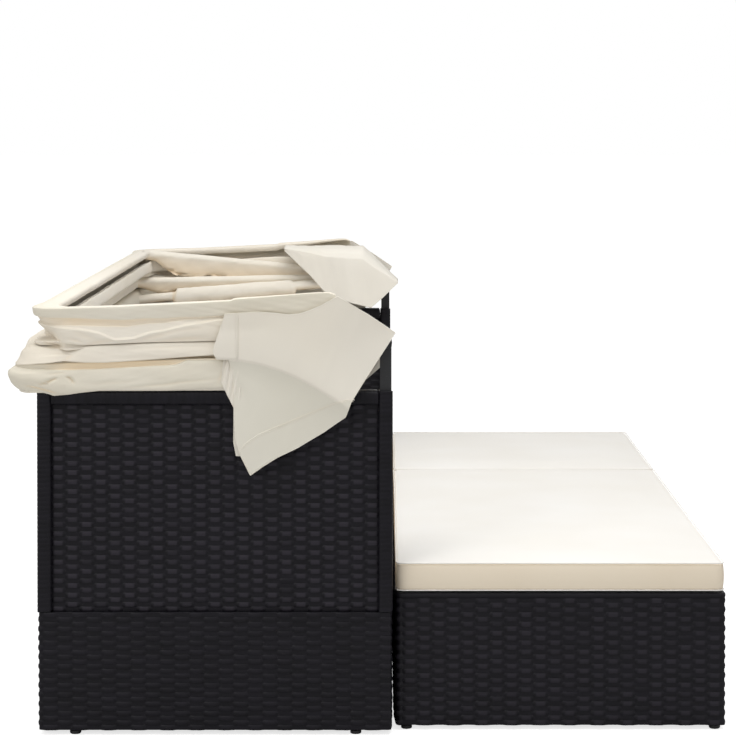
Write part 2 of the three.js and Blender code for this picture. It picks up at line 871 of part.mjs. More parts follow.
// The folded cloth of one bow: along the arm, round the corner, and along the bar.
// sizes: { out, in } at the bar, and levels { low, high } at the bar and at the cuff.
function foldOf(section, bow, sizes) {
  const centreX = (sizes.out + sizes.in) / 2;
  const centreY = (foldSideIn + foldSideOut) / 2;
  const halfBar = (sizes.in - sizes.out) / 2;
  const halfSide = (foldSideOut - foldSideIn) / 2;
  const bendX = centreX + foldBend;
  const bendY = centreY - foldBend;
  const armStations = 7;
  const bendStations = 4;
  const barStations = 10;
  const stations = [];
  for (let i = 0; i < armStations; i++) {
    const x = THREE.MathUtils.lerp(sizes.end, bendX, i / armStations);
    stations.push({ x, y: -centreY, turn: 0, half: halfSide });
  }
  for (let i = 0; i <= bendStations; i++) {
    const share = i / bendStations;
    const turn = (share * Math.PI) / 2;
    const x = bendX - foldBend * Math.sin(turn);
    const y = -bendY - foldBend * Math.cos(turn);
    stations.push({ x, y, turn, half: THREE.MathUtils.lerp(halfSide, halfBar, share) });
  }
  for (let i = 1; i < barStations / 2; i++) {
    const y = THREE.MathUtils.lerp(-bendY, 0, (2 * i) / barStations);
    stations.push({ x: centreX, y, turn: Math.PI / 2, half: halfBar });
  }
  const mirrored = [...stations].reverse().map((s) => ({ ...s, y: -s.y, turn: Math.PI - s.turn }));
  const middle = { x: centreX, y: 0, turn: Math.PI / 2, half: halfBar };
  const all = [...stations, middle, ...mirrored];
  const rings = all.map((s) => {
    const along = THREE.MathUtils.clamp((s.x - bendX) / (cuffX - bendX), 0, 1);
    const past = THREE.MathUtils.clamp((s.x - cuffX) / (hemX - cuffX), 0, 1);
    const lowAtCuff = THREE.MathUtils.lerp(sizes.low, sizes.cuffLow, along);
    const highAtCuff = THREE.MathUtils.lerp(sizes.high, sizes.cuffHigh, along);
    const low = THREE.MathUtils.lerp(lowAtCuff, hemLow, past);
    const high = THREE.MathUtils.lerp(highAtCuff, hemHigh, past);
    const outward = new THREE.Vector2(-Math.sin(s.turn), -Math.cos(s.turn));
    const phase = (waveCount * Math.PI * (Math.abs(s.y) + s.x)) / sofaDepth;
    return section.map(([n, t]) => {
      const slack = (1 - Math.abs(n)) * (1 - Math.abs(2 * t - 1));
      const wave = slack * Math.sin(phase + 2 * Math.PI * t);
      const reach = n * s.half - foldWave * Math.sign(n) * Math.abs(wave);
      return new THREE.Vector3(
        s.x + outward.x * reach,
        s.y + outward.y * reach,
        sofaHeight + THREE.MathUtils.lerp(low, high, t),
      );
    });
  });
  const outline = section.map(([n, t]) => new THREE.Vector2(n, t));
  return cut(loft(rings, outline), [bowTube(bow, tubeRadius + seatGap)]);
}

add(
  "rear_fold",
  foldOf(rearFoldShares, bows.rear, {
    out: rearFoldOut,
    in: rearFoldIn,
    low: seatGap,
    high: rearFoldTop,
    cuffLow: seatGap,
    cuffHigh: rearCuffTop,
    end: cuffX,
  }),
  canopyCloth,
);
add(
  "middle_fold",
  foldOf(middleFoldShares, bows.middle, {
    out: middleFoldOut,
    in: middleFoldIn,
    low: rearFoldTop + foldGap,
    high: middleFoldTop,
    cuffLow: rearCuffTop + foldGap,
    cuffHigh: middleCuffTop,
    end: cuffX,
  }),
  canopyCloth,
);
add(
  "front_fold",
  foldOf(frontFoldShares, bows.front, {
    out: frontFoldOut,
    in: frontFoldIn,
    low: middleFoldTop + foldGap,
    high: frontFoldTop,
    cuffLow: middleCuffTop + foldGap,
    cuffHigh: frontCuffTop,
    end: hemX,
  }),
  canopyCloth,
);

// The flap that hangs outside each arm, with a ridge from its cuff to its free corner and
// pleats at its cuff. Shares of its width and of its height, from the rear
// and from the tip, for each edge of the cloth.
const flapTopShares = [
  [0.066, 0.902],
  [0.298, 0.908],
  [0.414, 0.902],
  [0.546, 0.947],
  [0.682, 1],
];
const flapBottomShares = [
  [0.204, 0],
  [0.464, 0.149],
  [0.726, 0.327],
  [0.8, 0.45],
  [1, 0.795],
];
const flapLeftShares = [
  [0.066, 0.902],
  [0, 0.694],
  [0.088, 0.648],
  [0.111, 0.469],
  [0.122, 0.187],
  [0.204, 0],
];

function polylineAt(points, share) {
  const at = share * (points.length - 1);
  const i = Math.min(Math.floor(at), points.length - 2);
  return points[i].map((value, k) => THREE.MathUtils.lerp(value, points[i + 1][k], at - i));
}

function flap() {
  const columns = 12;
  const rows = 10;
  const steps = (count) => Array.from({ length: count + 1 }, (_, i) => i / count);
  const left0 = flapLeftShares[0];
  const left1 = flapLeftShares[flapLeftShares.length - 1];
  const place = (u, v, w) => {
    const top = polylineAt(flapTopShares, u);
    const bottom = polylineAt(flapBottomShares, u);
    const left = polylineAt(flapLeftShares, v);
    const share = [0, 1].map(
      (k) =>
        THREE.MathUtils.lerp(top[k], bottom[k], v) +
        (1 - u) * (left[k] - THREE.MathUtils.lerp(left0[k], left1[k], v)),
    );
    const fromRidge = (v - ridgeShares.start + ridgeShares.fall * u) / ridgeShares.width;
    const ridge = Math.exp(-(fromRidge ** 2)) * THREE.MathUtils.lerp(ridgeShares.least, 1, u);
    const fan = (1 - u) * (1 - v) * pleatShare;
    const pleat = Math.sin(pleatCount * Math.PI * (v + u)) ** 2 * fan;
    const out = flapBulge * (ridge + pleat) + (1 - w) * flapThick;
    return new THREE.Vector3(
      flapLeft + share[0] * flapWide,
      -foldSideOut - seatGap - out,
      sofaHeight - flapDrop + share[1] * flapTall,
    );
  };
  return gridBlock(steps(columns), steps(rows), [0, 1], place);
}

addPair("flap", flap(), canopyCloth);

// The front hem's loose end, which lies over the legs of the bows and hangs down inside the
// pivots. Shares of its width and its height for its upper and its lower edge, and shares of the
// way inwards and of the drop for its section.
const innerTopShares = [
  [0, 1],
  [0.69, 1],
  [0.83, 0.756],
  [1, 0.444],
];
const innerLowShares = [
  [0, 0.956],
  [0.23, 0.53],
  [0.363, 0.244],
  [0.763, 0],
  [1, 0.41],
];
const innerSectionShares = [
  [0, 0],
  [0.4, 0.01],
  [0.75, 0.05],
  [0.92, 0.12],
  [1, 0.2],
  [1, 0.45],
  [1, 0.7],
  [1, 1],
];

// The height share of an outline at a share of its width
function heightAt(outline, share) {
  const i = Math.max(
    outline.findIndex(([x]) => x >= share),
    1,
  );
  const [[x0, z0], [x1, z1]] = [outline[i - 1], outline[i]];
  return THREE.MathUtils.lerp(z0, z1, (share - x0) / (x1 - x0));
}

function innerFlap() {
  const start = cuffX + innerFlapStart;
  const end = pivotX + innerFlapReach;
  const low = sofaHeight + pivotRise - innerFlapHang;
  const high = sofaHeight + hemLow + flapThick;
  const outer = foldSideIn - seatGap;
  const inner = innermost - runGap - nutTall - seatGap;
  const taperShare = innerTopShares[1][0];
  const columns = 10;
  const place = (u, v, w) => {
    const [inward, drop] = innerSectionShares[v];
    const height = THREE.MathUtils.lerp(
      heightAt(innerTopShares, u),
      heightAt(innerLowShares, u),
      drop,
    );
    const taper = Math.max(0, (u - taperShare) / (1 - taperShare));
    const edge = THREE.MathUtils.lerp(outer, frontLegY, taper);
    const turn = (inward ** 4 * Math.PI) / 2;
    return new THREE.Vector3(
      THREE.MathUtils.lerp(start, end, u),
      w * flapThick * Math.sin(turn) - THREE.MathUtils.lerp(edge, inner, inward),
      THREE.MathUtils.lerp(low, high, height) + w * flapThick * Math.cos(turn),
    );
  };
  const across = Array.from({ length: columns + 1 }, (_, i) => i / columns);
  const down = innerSectionShares.map((_, i) => i);
  return gridBlock(across, down, [0, 1], place);
}

addPair("inner_flap", innerFlap(), canopyCloth);

// The origin is under the middle of the whole object, at floor level
const bounds = new THREE.Box3().setFromObject(object);
object.position.set(-(bounds.min.x + bounds.max.x) / 2, -(bounds.min.y + bounds.max.y) / 2, 0);

export default object;
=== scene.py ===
"""Looks of the outdoor daybed with a folding canopy: woven rattan, cushions and canvas."""

import math

import bmesh
import bpy
import numpy as np
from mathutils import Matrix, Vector


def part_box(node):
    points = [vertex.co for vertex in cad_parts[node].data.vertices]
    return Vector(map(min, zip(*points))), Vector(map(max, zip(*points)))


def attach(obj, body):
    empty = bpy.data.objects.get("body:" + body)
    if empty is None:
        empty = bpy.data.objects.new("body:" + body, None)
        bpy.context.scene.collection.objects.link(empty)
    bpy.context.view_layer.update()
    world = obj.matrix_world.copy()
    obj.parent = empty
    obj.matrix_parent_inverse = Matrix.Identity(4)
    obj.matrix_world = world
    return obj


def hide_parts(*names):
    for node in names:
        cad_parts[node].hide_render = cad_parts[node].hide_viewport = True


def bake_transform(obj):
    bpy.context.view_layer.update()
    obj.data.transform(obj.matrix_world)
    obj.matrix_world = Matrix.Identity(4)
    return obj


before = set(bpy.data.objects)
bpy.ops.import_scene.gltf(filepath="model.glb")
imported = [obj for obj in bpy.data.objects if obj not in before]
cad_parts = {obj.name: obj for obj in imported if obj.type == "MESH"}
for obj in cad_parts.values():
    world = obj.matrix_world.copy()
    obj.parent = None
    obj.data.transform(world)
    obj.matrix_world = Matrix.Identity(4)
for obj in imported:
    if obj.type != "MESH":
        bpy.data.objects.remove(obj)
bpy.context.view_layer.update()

# Places read from the frame, in metres
side_low, side_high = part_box("right_side_frame")
SOFA_BACK, SOFA_FRONT = side_low.x, side_high.x
HALF_LENGTH = -side_low.y
ARM_INNER = -side_high.y
ARM_TOP = side_high.z
BASE = side_low.z
BAND_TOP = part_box("right_skirt_weave")[1].z
bolt_low, bolt_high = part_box("right_pivot_bolt")
PIVOT_X, PIVOT_Z = (bolt_low.x + bolt_high.x) / 2, (bolt_low.z + bolt_high.z) / 2
STOOL_LOW, STOOL_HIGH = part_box("footstool_front_weave")
STOOL_LOW.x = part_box("footstool_back_weave")[0].x

# The weave: flat ribbon over upright stakes
STAKE_PITCH = 0.0275
STRAND_PITCH = 0.0088
STRAND_SWING = 0.0019
WAVE_SHARP = 1.9
STRAND_CROWN = 0.0013
STRAND_HALF = 0.58  # as a share of the strands' pitch
EDGE_BACK = 0.0006  # how far the stakes' edges are set back
HIGHLIGHT_FROM, HIGHLIGHT_SPAN = 0.35, 0.45  # of a strand's swing, where its painted highlight starts
# How uneven the ribbon is: in depth and in its painted highlight, as shares, and in height, for a
# row and a place
UNEVEN_DEPTH = 0.12
UNEVEN_HIGHLIGHT = 0.3
UNEVEN_ROW, UNEVEN_PLACE = 0.00016, 0.0001
# The rolled rim above a weave: distance outward, and share of its height
RIM_SECTION = [
    (-0.006, 0), (0.0004, 0.0002), (0.0016, 0.3), (0.0016, 0.75), (-0.001, 0.98), (-0.012, 1),
]
WEAVE_HALF = 0.0027  # from a weave's middle to its face
WEAVE_TUCK = 0.002  # how far a weave's ends go under the rails
WEAVE_GAP = 0.0003  # between a weave and the post behind it
STOOL_RIM = 0.0105  # height of the footstool's rim
STOOL_BOW = 0.0063  # most that its back may bow out
CORNER_ROUND = 0.006

# The rails and posts, wound with the same ribbon
WRAP_PITCH = 0.0088
# One turn of it: a share of its width, and how far that lies in
WRAP_SECTION = [(0, 0.0004), (0.14, 0.0001), (0.5, 0), (0.86, 0.0001)]
POST_WIDE = 0.027
RAIL_TALL = 0.026
POST_BACK = 0.006  # how far posts and rails lie behind the lower band's face
RAIL_BACK = 0.0055
FOOT_LIFT = 0.001  # of the lowest rails and posts above the band's edge

rng = np.random.default_rng(7)


# Meshes


def new_piece(name, points, faces, material, smooth=True):
    """An object from an array of points and an array of faces with equal corner counts."""
    points = np.asarray(points, np.float32).reshape(-1, 3)
    faces = np.asarray(faces, np.int32)
    mesh = bpy.data.meshes.new(name)
    mesh.vertices.add(len(points))
    mesh.vertices.foreach_set("co", points.ravel())
    mesh.loops.add(faces.size)
    mesh.loops.foreach_set("vertex_index", faces.ravel())
    mesh.polygons.add(len(faces))
    mesh.polygons.foreach_set("loop_start", np.arange(0, faces.size, faces.shape[1]))
    mesh.polygons.foreach_set("use_smooth", np.full(len(faces), smooth))
    mesh.update(calc_edges=True)
    mesh.materials.append(material)
    piece = bpy.data.objects.new(name, mesh)
    bpy.context.scene.collection.objects.link(piece)
    return piece


def set_painted_light(piece, values):
    """Stores how far each point leans to the second colour of its material, from 0 to 1: the
    painted highlight on the weave or the painted shade on the canopy cloth.
    """
    tone = piece.data.attributes.new("tone", "FLOAT", "POINT")
    tone.data.foreach_set("value", np.asarray(values, np.float32).ravel())


def grid_faces(rows, columns, wrap=False, count=1):
    """Quads over count grids of rows x columns points; wrap joins the last column to the first."""
    r = np.arange(rows - 1)[:, None]
    c = np.arange(columns if wrap else columns - 1)[None, :]
    after = (c + 1) % columns
    quads = np.stack(
        [
            r * columns + c,
            r * columns + after,
            (r + 1) * columns + after,
            (r + 1) * columns + c,
        ],
        axis=-1,
    ).reshape(-1, 4)
    starts = np.arange(count)[:, None, None] * rows * columns
    return (starts + quads[None]).reshape(-1, 4)


def joined(parts):
    """Several (points, faces) pairs as one."""
    points, faces, start = [], [], 0
    for part_points, part_faces in parts:
        part_points = np.asarray(part_points, float).reshape(-1, 3)
        points.append(part_points)
        faces.append(np.asarray(part_faces) + start)
        start += len(part_points)
    return np.concatenate(points), np.concatenate(faces)


def ease(x):
    """A smooth step from 0 to 1."""
    x = np.clip(x, 0, 1)
    return x * x * (3 - 2 * x)


def unit(vectors):
    """Vectors of length 1."""
    return vectors / np.maximum(np.linalg.norm(vectors, axis=-1, keepdims=True), 1e-9)


def run(line):
    """How far along a line of points each of them is."""
    return np.r_[0, np.cumsum(np.linalg.norm(np.diff(line, axis=0), axis=1))]


def even(points, shares):
    """Places along a line of points at shares of its length."""
    points = np.asarray(points, float)
    steps = run(points)
    at = np.asarray(shares) * steps[-1]
    return np.stack([np.interp(at, steps, column) for column in points.T], axis=-1)


def beside(forward):
    """The directions beside a line and above it, from its own direction at each point."""
    aside = unit(np.cross(forward, (0, 0, 1.0)))
    return aside, np.cross(aside, forward)


class Ripple:
    """Smooth made-up unevenness along a line and across it, always the same for one seed."""

    def __init__(self, seed, longest, shortest, waves=7):
        dice = np.random.default_rng(seed)
        self.along = 2 * np.pi / dice.uniform(shortest, longest, waves)
        self.across = dice.uniform(-1, 1, waves)
        self.phase = dice.uniform(0, 2 * np.pi, waves)
        self.weight = dice.uniform(0.5, 1, waves)
        self.weight /= self.weight.sum() ** 0.5 * 1.4

    def __call__(self, s, t=0.0):
        s, t = np.broadcast_arrays(np.asarray(s, float), np.asarray(t, float))
        total = np.zeros(s.shape)
        for along, across, phase, weight in zip(self.along, self.across, self.phase, self.weight):
            total += weight * np.sin(along * s + across * along * t + phase)
        return total


# Materials


def add_node(tree, kind, inputs=None, **settings):
    """A shader node, with its inputs set to values or linked to other nodes' outputs."""
    made = tree.nodes.new("ShaderNode" + kind)
    for key, value in settings.items():
        setattr(made, key, value)
    for key, value in (inputs or {}).items():
        if isinstance(value, bpy.types.NodeSocket):
            tree.links.new(value, made.inputs[key])
        else:
            made.inputs[key].default_value = value
    return made


class Finish:
    """A material on one principled shader, with helpers for the nodes before it."""

    def __init__(self, name, roughness, **constants):
        self.material = bpy.data.materials.new(name)
        self.material.use_nodes = True
        self.tree = self.material.node_tree
        self.shader = self.tree.nodes["Principled BSDF"]
        self.shader.inputs["Roughness"].default_value = roughness
        for key, value in constants.items():
            self.shader.inputs[key.replace("_", " ")].default_value = value
        self.place = self.tree.nodes.new("ShaderNodeTexCoord").outputs["Object"]
        self.normal = None

    def node(self, kind, inputs=None, **settings):
        return add_node(self.tree, kind, inputs, **settings)

    def noise(self, scale, detail=2.0, stretch=(1, 1, 1)):
        where = self.node("Mapping", {"Vector": self.place, "Scale": stretch}).outputs[0]
        found = self.node("TexNoise", {"Vector": where, "Scale": scale, "Detail": detail})
        return found.outputs["Fac"]

    def math(self, operation, a, b=0.0):
        return self.node("Math", {0: a, 1: b}, operation=operation).outputs[0]

    def range(self, value, low, high, to_low, to_high):
        inputs = {"Value": value, 1: low, 2: high, 3: to_low, 4: to_high}
        return self.node("MapRange", inputs).outputs[0]

    def mix(self, factor, a, b):
        a, b = (c if isinstance(c, bpy.types.NodeSocket) else (*c, 1) for c in (a, b))
        return self.node("Mix", {"Factor": factor, 6: a, 7: b}, data_type="RGBA").outputs[2]

    def with_painted_light(self, base, second):
        """The base colour, or the second one, a painted highlight or painted shade, where the
        piece's tone is 1.
        """
        tone = self.node("Attribute", attribute_name="tone").outputs["Fac"]
        return self.mix(tone, base, second)

    def colour(self, socket):
        self.tree.links.new(socket, self.shader.inputs["Base Color"])

    def rough(self, socket):
        self.tree.links.new(socket, self.shader.inputs["Roughness"])

    def bump(self, height, depth, strength=1.0):
        inputs = {"Height": height, "Distance": depth, "Strength": strength}
        if self.normal is not None:
            inputs["Normal"] = self.normal
        self.normal = self.node("Bump", inputs).outputs[0]
        self.tree.links.new(self.normal, self.shader.inputs["Normal"])


def linear(*srgb):
    """Linear colour of an sRGB one in 0..255."""
    return tuple(
        c / 255 / 12.92 if c <= 10 else ((c / 255 + 0.055) / 1.055) ** 2.4 for c in srgb
    )


def rattan_finish(name, fine):
    """Dark plastic ribbon with fine lines along it. fine is the direction across the lines."""
    finish = Finish(name, 0.5, IOR=1.5, Specular_IOR_Level=0.17)
    lines, strand = (
        finish.noise(scale, detail, tuple(1.0 if axis == fine else share for axis in "xyz"))
        for scale, detail, share in ((1100, 2, 0.06), (90, 1, 0.12))
    )
    patches = finish.noise(26, 2)
    base = finish.mix(patches, linear(11, 10, 14), linear(19, 17, 23))
    base = finish.mix(finish.range(strand, 0.35, 0.75, 0, 0.6), base, linear(26, 24, 31))
    # Where the piece's tone is 1 the ribbon is paler: a painted highlight on the raised strands
    finish.colour(finish.with_painted_light(base, linear(44, 41, 48)))
    finish.rough(finish.range(lines, 0.3, 0.7, 0.38, 0.55))
    finish.bump(lines, 0.00016, 0.5)
    return finish.material


def cloth_finish(name, pale, deep, thread, slack):
    """Plain-woven cloth: crossing threads at a pitch in metres, with soft unevenness.
    A larger slack makes that finer."""
    pale, deep = linear(*pale), linear(*deep)
    finish = Finish(name, 0.88, Sheen_Weight=0.12, Sheen_Roughness=0.5, IOR=1.45)
    inputs = {"Vector": finish.place, "Scale": 0.314 / thread, "Distortion": 0.6}
    inputs.update({"Detail": 1.0, "Detail Scale": 2.0})
    bands = [
        finish.node("TexWave", inputs, wave_type="BANDS", bands_direction=axis).outputs["Fac"]
        for axis in "XYZ"
    ]
    weave = finish.math("MULTIPLY", finish.math("ADD", bands[0], bands[1]), 0.5)
    weave = finish.math("ADD", weave, bands[2])
    soft = finish.noise(slack, 3)
    broad = finish.noise(slack * 0.3, 2)
    tone = finish.mix(finish.range(broad, 0.3, 0.7, 0, 1), deep, pale)
    tone = finish.mix(finish.range(weave, 0.2, 1.8, 0.12, 0), tone, deep)
    # Where the piece's tone is 1, a warm peach: painted shade in folds, creases and under the
    # sleeves
    finish.colour(finish.with_painted_light(tone, linear(252, 228, 192)))
    finish.rough(finish.range(soft, 0.3, 0.7, 0.82, 0.95))
    finish.bump(soft, 0.0016, 0.35)
    finish.bump(weave, thread * 0.18, 0.35)
    return finish.material


def metal_finish(name, shade, worn, roughness, metallic):
    """Painted, drawn or moulded hard surface: fine grain, faint wear and smudges."""
    shade, worn = linear(*shade), linear(*worn)
    finish = Finish(name, roughness, Metallic=metallic, IOR=1.5)
    grain = finish.noise(900, 2)
    smudge = finish.noise(34, 3)
    scuff = finish.range(finish.noise(150, 4), 0.62, 0.74, 0, 1)
    tone = finish.mix(smudge, shade, tuple(c * 1.25 for c in shade))
    finish.colour(finish.mix(finish.math("MULTIPLY", scuff, 0.35), tone, worn))
    finish.rough(finish.range(smudge, 0.3, 0.7, roughness - 0.06, roughness + 0.12))
    finish.bump(grain, 0.00012, 0.4)
    return finish.material


RATTAN = rattan_finish("rattan_level", "z")
RATTAN_X = rattan_finish("rattan_wrap_x", "x")
RATTAN_Y = rattan_finish("rattan_wrap_y", "y")
CUSHION = cloth_finish("cushion_cloth", (252, 249, 244), (248, 244, 237), 0.0011, 14)
# A darker, warmer copy of the cushion cloth: painted shade on the cushions' upright sides
SHADED_BOXING = cloth_finish("cushion_boxing_shaded", (246, 233, 212), (241, 226, 203), 0.0011, 14)
CANVAS = cloth_finish("canopy_cloth", (243, 238, 228), (238, 231, 217), 0.0008, 9)
# A darker copy of the canopy cloth: painted shade on the hem band, the rear roll and the flap's
# lower part
SHADED_CANVAS = cloth_finish("canopy_cloth_shaded", (236, 232, 220), (231, 226, 211), 0.0008, 9)
THREAD = cloth_finish("thread", (250, 246, 236), (232, 224, 208), 0.0005, 30)
STEEL = metal_finish("coated_steel", (30, 30, 32), (70, 70, 72), 0.45, 0.2)
TUBE = metal_finish("bow_tube", (178, 178, 174), (205, 205, 203), 0.34, 0.9)
PLASTIC = metal_finish("knuckle_plastic", (36, 36, 38), (62, 62, 64), 0.5, 0)
BOLT = metal_finish("bolt_steel", (52, 52, 54), (120, 120, 122), 0.4, 0.8)
GLIDE = metal_finish("glide_plastic", (22, 22, 23), (55, 55, 56), 0.55, 0)

# The solids that stay in view, by words in their names
FINISHES = {
    "glide": GLIDE, "knuckle": PLASTIC, "bow_tube": TUBE, "bolt": BOLT, "nut": BOLT,
    "frame": STEEL, "legs": STEEL, "post": STEEL,
}
for node_name, node_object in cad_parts.items():
    kept = next((finish for word, finish in FINISHES.items() if word in node_name), None)
    if kept:
        node_object.data.materials.clear()
        node_object.data.materials.append(kept)


# Weave and wrapped rails


class PlanPath:
    """A line seen from above with rounded corners, and the outward normal beside it."""

    def __init__(self, corners, radius, closed=False, step=0.001):
        corners = np.array(corners, float)
        count = len(corners)
        line = []
        for i, corner in enumerate(corners):
            if not closed and i in (0, count - 1):
                line.append(corner)
                continue
            before = unit(corners[i - 1] - corner)
            after = unit(corners[(i + 1) % count] - corner)
            centre = corner + (before + after) * radius
            for share in np.linspace(0, 1, 9):
                turn = share * math.pi / 2
                line.append(
                    centre - after * radius * math.cos(turn) - before * radius * math.sin(turn)
                )
        if closed:
            line.append(line[0])
        steps = run(line)
        self.length = steps[-1]
        self.s = np.arange(0, self.length + step / 2, step)
        self.points = self.placed(self.s, steps, np.array(line))
        forward = unit(np.gradient(self.points, axis=0))
        self.normals = np.stack([forward[:, 1], -forward[:, 0]], axis=1)

    @staticmethod
    def placed(s, steps, rows):
        """Rows at the distances s, from those at each step."""
        return np.stack([np.interp(s, steps, rows[:, k]) for k in (0, 1)], axis=-1)

    def at(self, s):
        """Points and outward normals at distances along the path."""
        normal = self.placed(s, self.s, self.normals)
        return self.placed(s, self.s, self.points), unit(normal)


def woven(path, low, high, rim=0.0, polish=1.0, samples=8):
    """Ribbons that pass over and under upright stakes along a path, between two heights.
    A rim above them is left plain. The raised parts are painted paler as a highlight, scaled by a
    share given after the rim."""
    high -= rim
    stakes = max(2, round(path.length / STAKE_PITCH))
    pitch = path.length / stakes
    rows = round((high - low) / STRAND_PITCH)
    rise = (high - low) / rows
    s = np.linspace(0, path.length, stakes * samples + 1)
    centre, normal = path.at(s)
    wave = np.tanh(WAVE_SHARP * np.sin(np.pi * s / pitch)) / np.tanh(WAVE_SHARP)
    row_sign = np.where(np.arange(rows) % 2, -1.0, 1.0)[:, None]
    loose = 1 + UNEVEN_DEPTH * rng.standard_normal((rows, stakes))
    loose = np.repeat(loose, samples, axis=1)
    loose = np.concatenate([loose, loose[:, -1:]], axis=1)
    depth = row_sign * wave[None] * STRAND_SWING * loose
    lift = UNEVEN_ROW * rng.standard_normal((rows, 1))
    lift = lift + UNEVEN_PLACE * rng.standard_normal((rows, len(s)))
    z = low + (np.arange(rows)[:, None] + 0.5) * rise + lift
    across = np.array([-1, -0.7, 0, 0.7, 1.0])
    out = depth[:, :, None] - STRAND_CROWN * np.abs(across) ** 2.6
    # The strands, with a painted highlight where they pass over a stake
    strand = np.empty((*out.shape, 3))
    strand[..., :2] = centre[:, None] + normal[:, None] * out[..., None]
    strand[..., 2] = z[:, :, None] + across * rise * STRAND_HALF
    parts = [(strand, grid_faces(len(s), len(across), count=rows))]
    over = row_sign * np.sin(np.pi * s / pitch)
    over = ease((over - HIGHLIGHT_FROM) / HIGHLIGHT_SPAN)[:, :, None] * (1 - across**2) ** 0.6
    fade = 1 + UNEVEN_HIGHLIGHT * rng.standard_normal((rows, stakes + 1, 1)).repeat(samples, axis=1)
    tones = [np.clip(over * fade[:, : len(s)], 0, 1).ravel() * polish]
    # The stakes stand edge to edge, with their edges set back, as one closed dark sheet that also
    # stands for the shade seen between the strands
    edge = np.clip(np.abs(2 * (s / pitch % 1) - 1) * 2 - 1, 0, 1)
    backing = np.empty((len(s), 2, 3))
    backing[..., :2] = (centre - normal * (EDGE_BACK * edge)[:, None])[:, None]
    backing[..., 2] = low, high
    parts.append((backing, grid_faces(len(s), 2)))
    if rim:
        band = np.empty((len(s), len(RIM_SECTION), 3))
        for j, (out, share) in enumerate(RIM_SECTION):
            band[:, j, :2] = centre + normal * out
            band[:, j, 2] = high + rim * share
        parts.append((band, grid_faces(*band.shape[:2])))
    points, faces = joined(parts)
    tones.append(np.zeros(len(points) - len(tones[0])))
    return points, faces, np.concatenate(tones)


def woven_piece(name, points, faces, tones, chosen=slice(None)):
    """A piece of the chosen faces of a weave, with the points they need."""
    used, faces = np.unique(faces[chosen], return_inverse=True)
    piece = new_piece(name, points[used], faces.reshape(-1, 4), RATTAN)
    set_painted_light(piece, tones[used])
    return piece


def weave(name, path, low, high, **settings):
    return woven_piece(name, *woven(path, low, high, **settings))


def wrapped_bar(low, high, axis):
    """A bar between two corners, wound with ribbon along one axis: its points and faces."""
    low, high = np.array(low, float), np.array(high, float)
    a = "xyz".index(axis)
    b, c = [k for k in range(3) if k != a]
    wraps = max(1, round((high[a] - low[a]) / WRAP_PITCH))
    pitch = (high[a] - low[a]) / wraps
    shares, insets = np.transpose(WRAP_SECTION)
    along = np.r_[(np.arange(wraps)[:, None] + shares).ravel(), wraps] * pitch
    inset = np.r_[np.tile(insets, wraps), insets[0]]
    half, middle = (high - low)[[b, c]] / 2, (high + low)[[b, c]] / 2
    radius = min(CORNER_ROUND, *half * 0.8)
    arc = (0, 0.33, 0.67, 1)
    turns = (np.arange(4)[:, None] + arc).ravel() * math.pi / 2
    out = np.stack([np.cos(turns), np.sin(turns)], axis=1)
    corners = np.repeat([(1, 1), (-1, 1), (-1, -1), (1, -1)], len(arc), axis=0)
    ring = middle + corners * (half - radius) + out * radius
    count = len(ring)
    slant = pitch * np.arange(count) / count
    points = np.zeros((len(along), count, 3))
    points[..., [b, c]] = ring - out * inset[:, None, None]
    points[..., a] = low[a] + np.clip(along[:, None] + slant - pitch / 2, 0, wraps * pitch)
    # Both ends close with a fan of faces round a hub
    faces = [grid_faces(len(along), count, wrap=True)]
    hubs = np.tile((low + high) / 2, (2, 1))
    hubs[:, a] = low[a], high[a]
    j = np.arange(count)
    for k, first in enumerate((0, (len(along) - 1) * count)):
        hub = np.full(count, len(along) * count + k)
        faces.append(np.stack([first + j, first + (j + 1) % count, hub, first + j], axis=1))
    return np.concatenate([points.reshape(-1, 3), hubs]), np.concatenate(faces)


def wrapped_frame(name, bars):
    """Wound bars in one piece; the finish of each follows its axis."""
    parts = [wrapped_bar(*bar) for bar in bars]
    piece = new_piece(name, *joined(parts), RATTAN)
    piece.data.materials.append(RATTAN_X)
    piece.data.materials.append(RATTAN_Y)
    index = [np.full(len(faces), "zxy".index(bar[2])) for bar, (_, faces) in zip(bars, parts)]
    piece.data.polygons.foreach_set("material_index", np.concatenate(index).astype(np.int32))
    # The fans' faces repeat a corner, so they become triangles
    bm = bmesh.new()
    bm.from_mesh(piece.data)
    bmesh.ops.dissolve_degenerate(bm, dist=1e-7, edges=bm.edges)
    bm.to_mesh(piece.data)
    bm.free()
    return piece


window_top = ARM_TOP - RAIL_TALL
foot = BASE + FOOT_LIFT
skirt_face = HALF_LENGTH - RAIL_BACK
x_back, x_front = SOFA_BACK + POST_WIDE, SOFA_FRONT - POST_WIDE

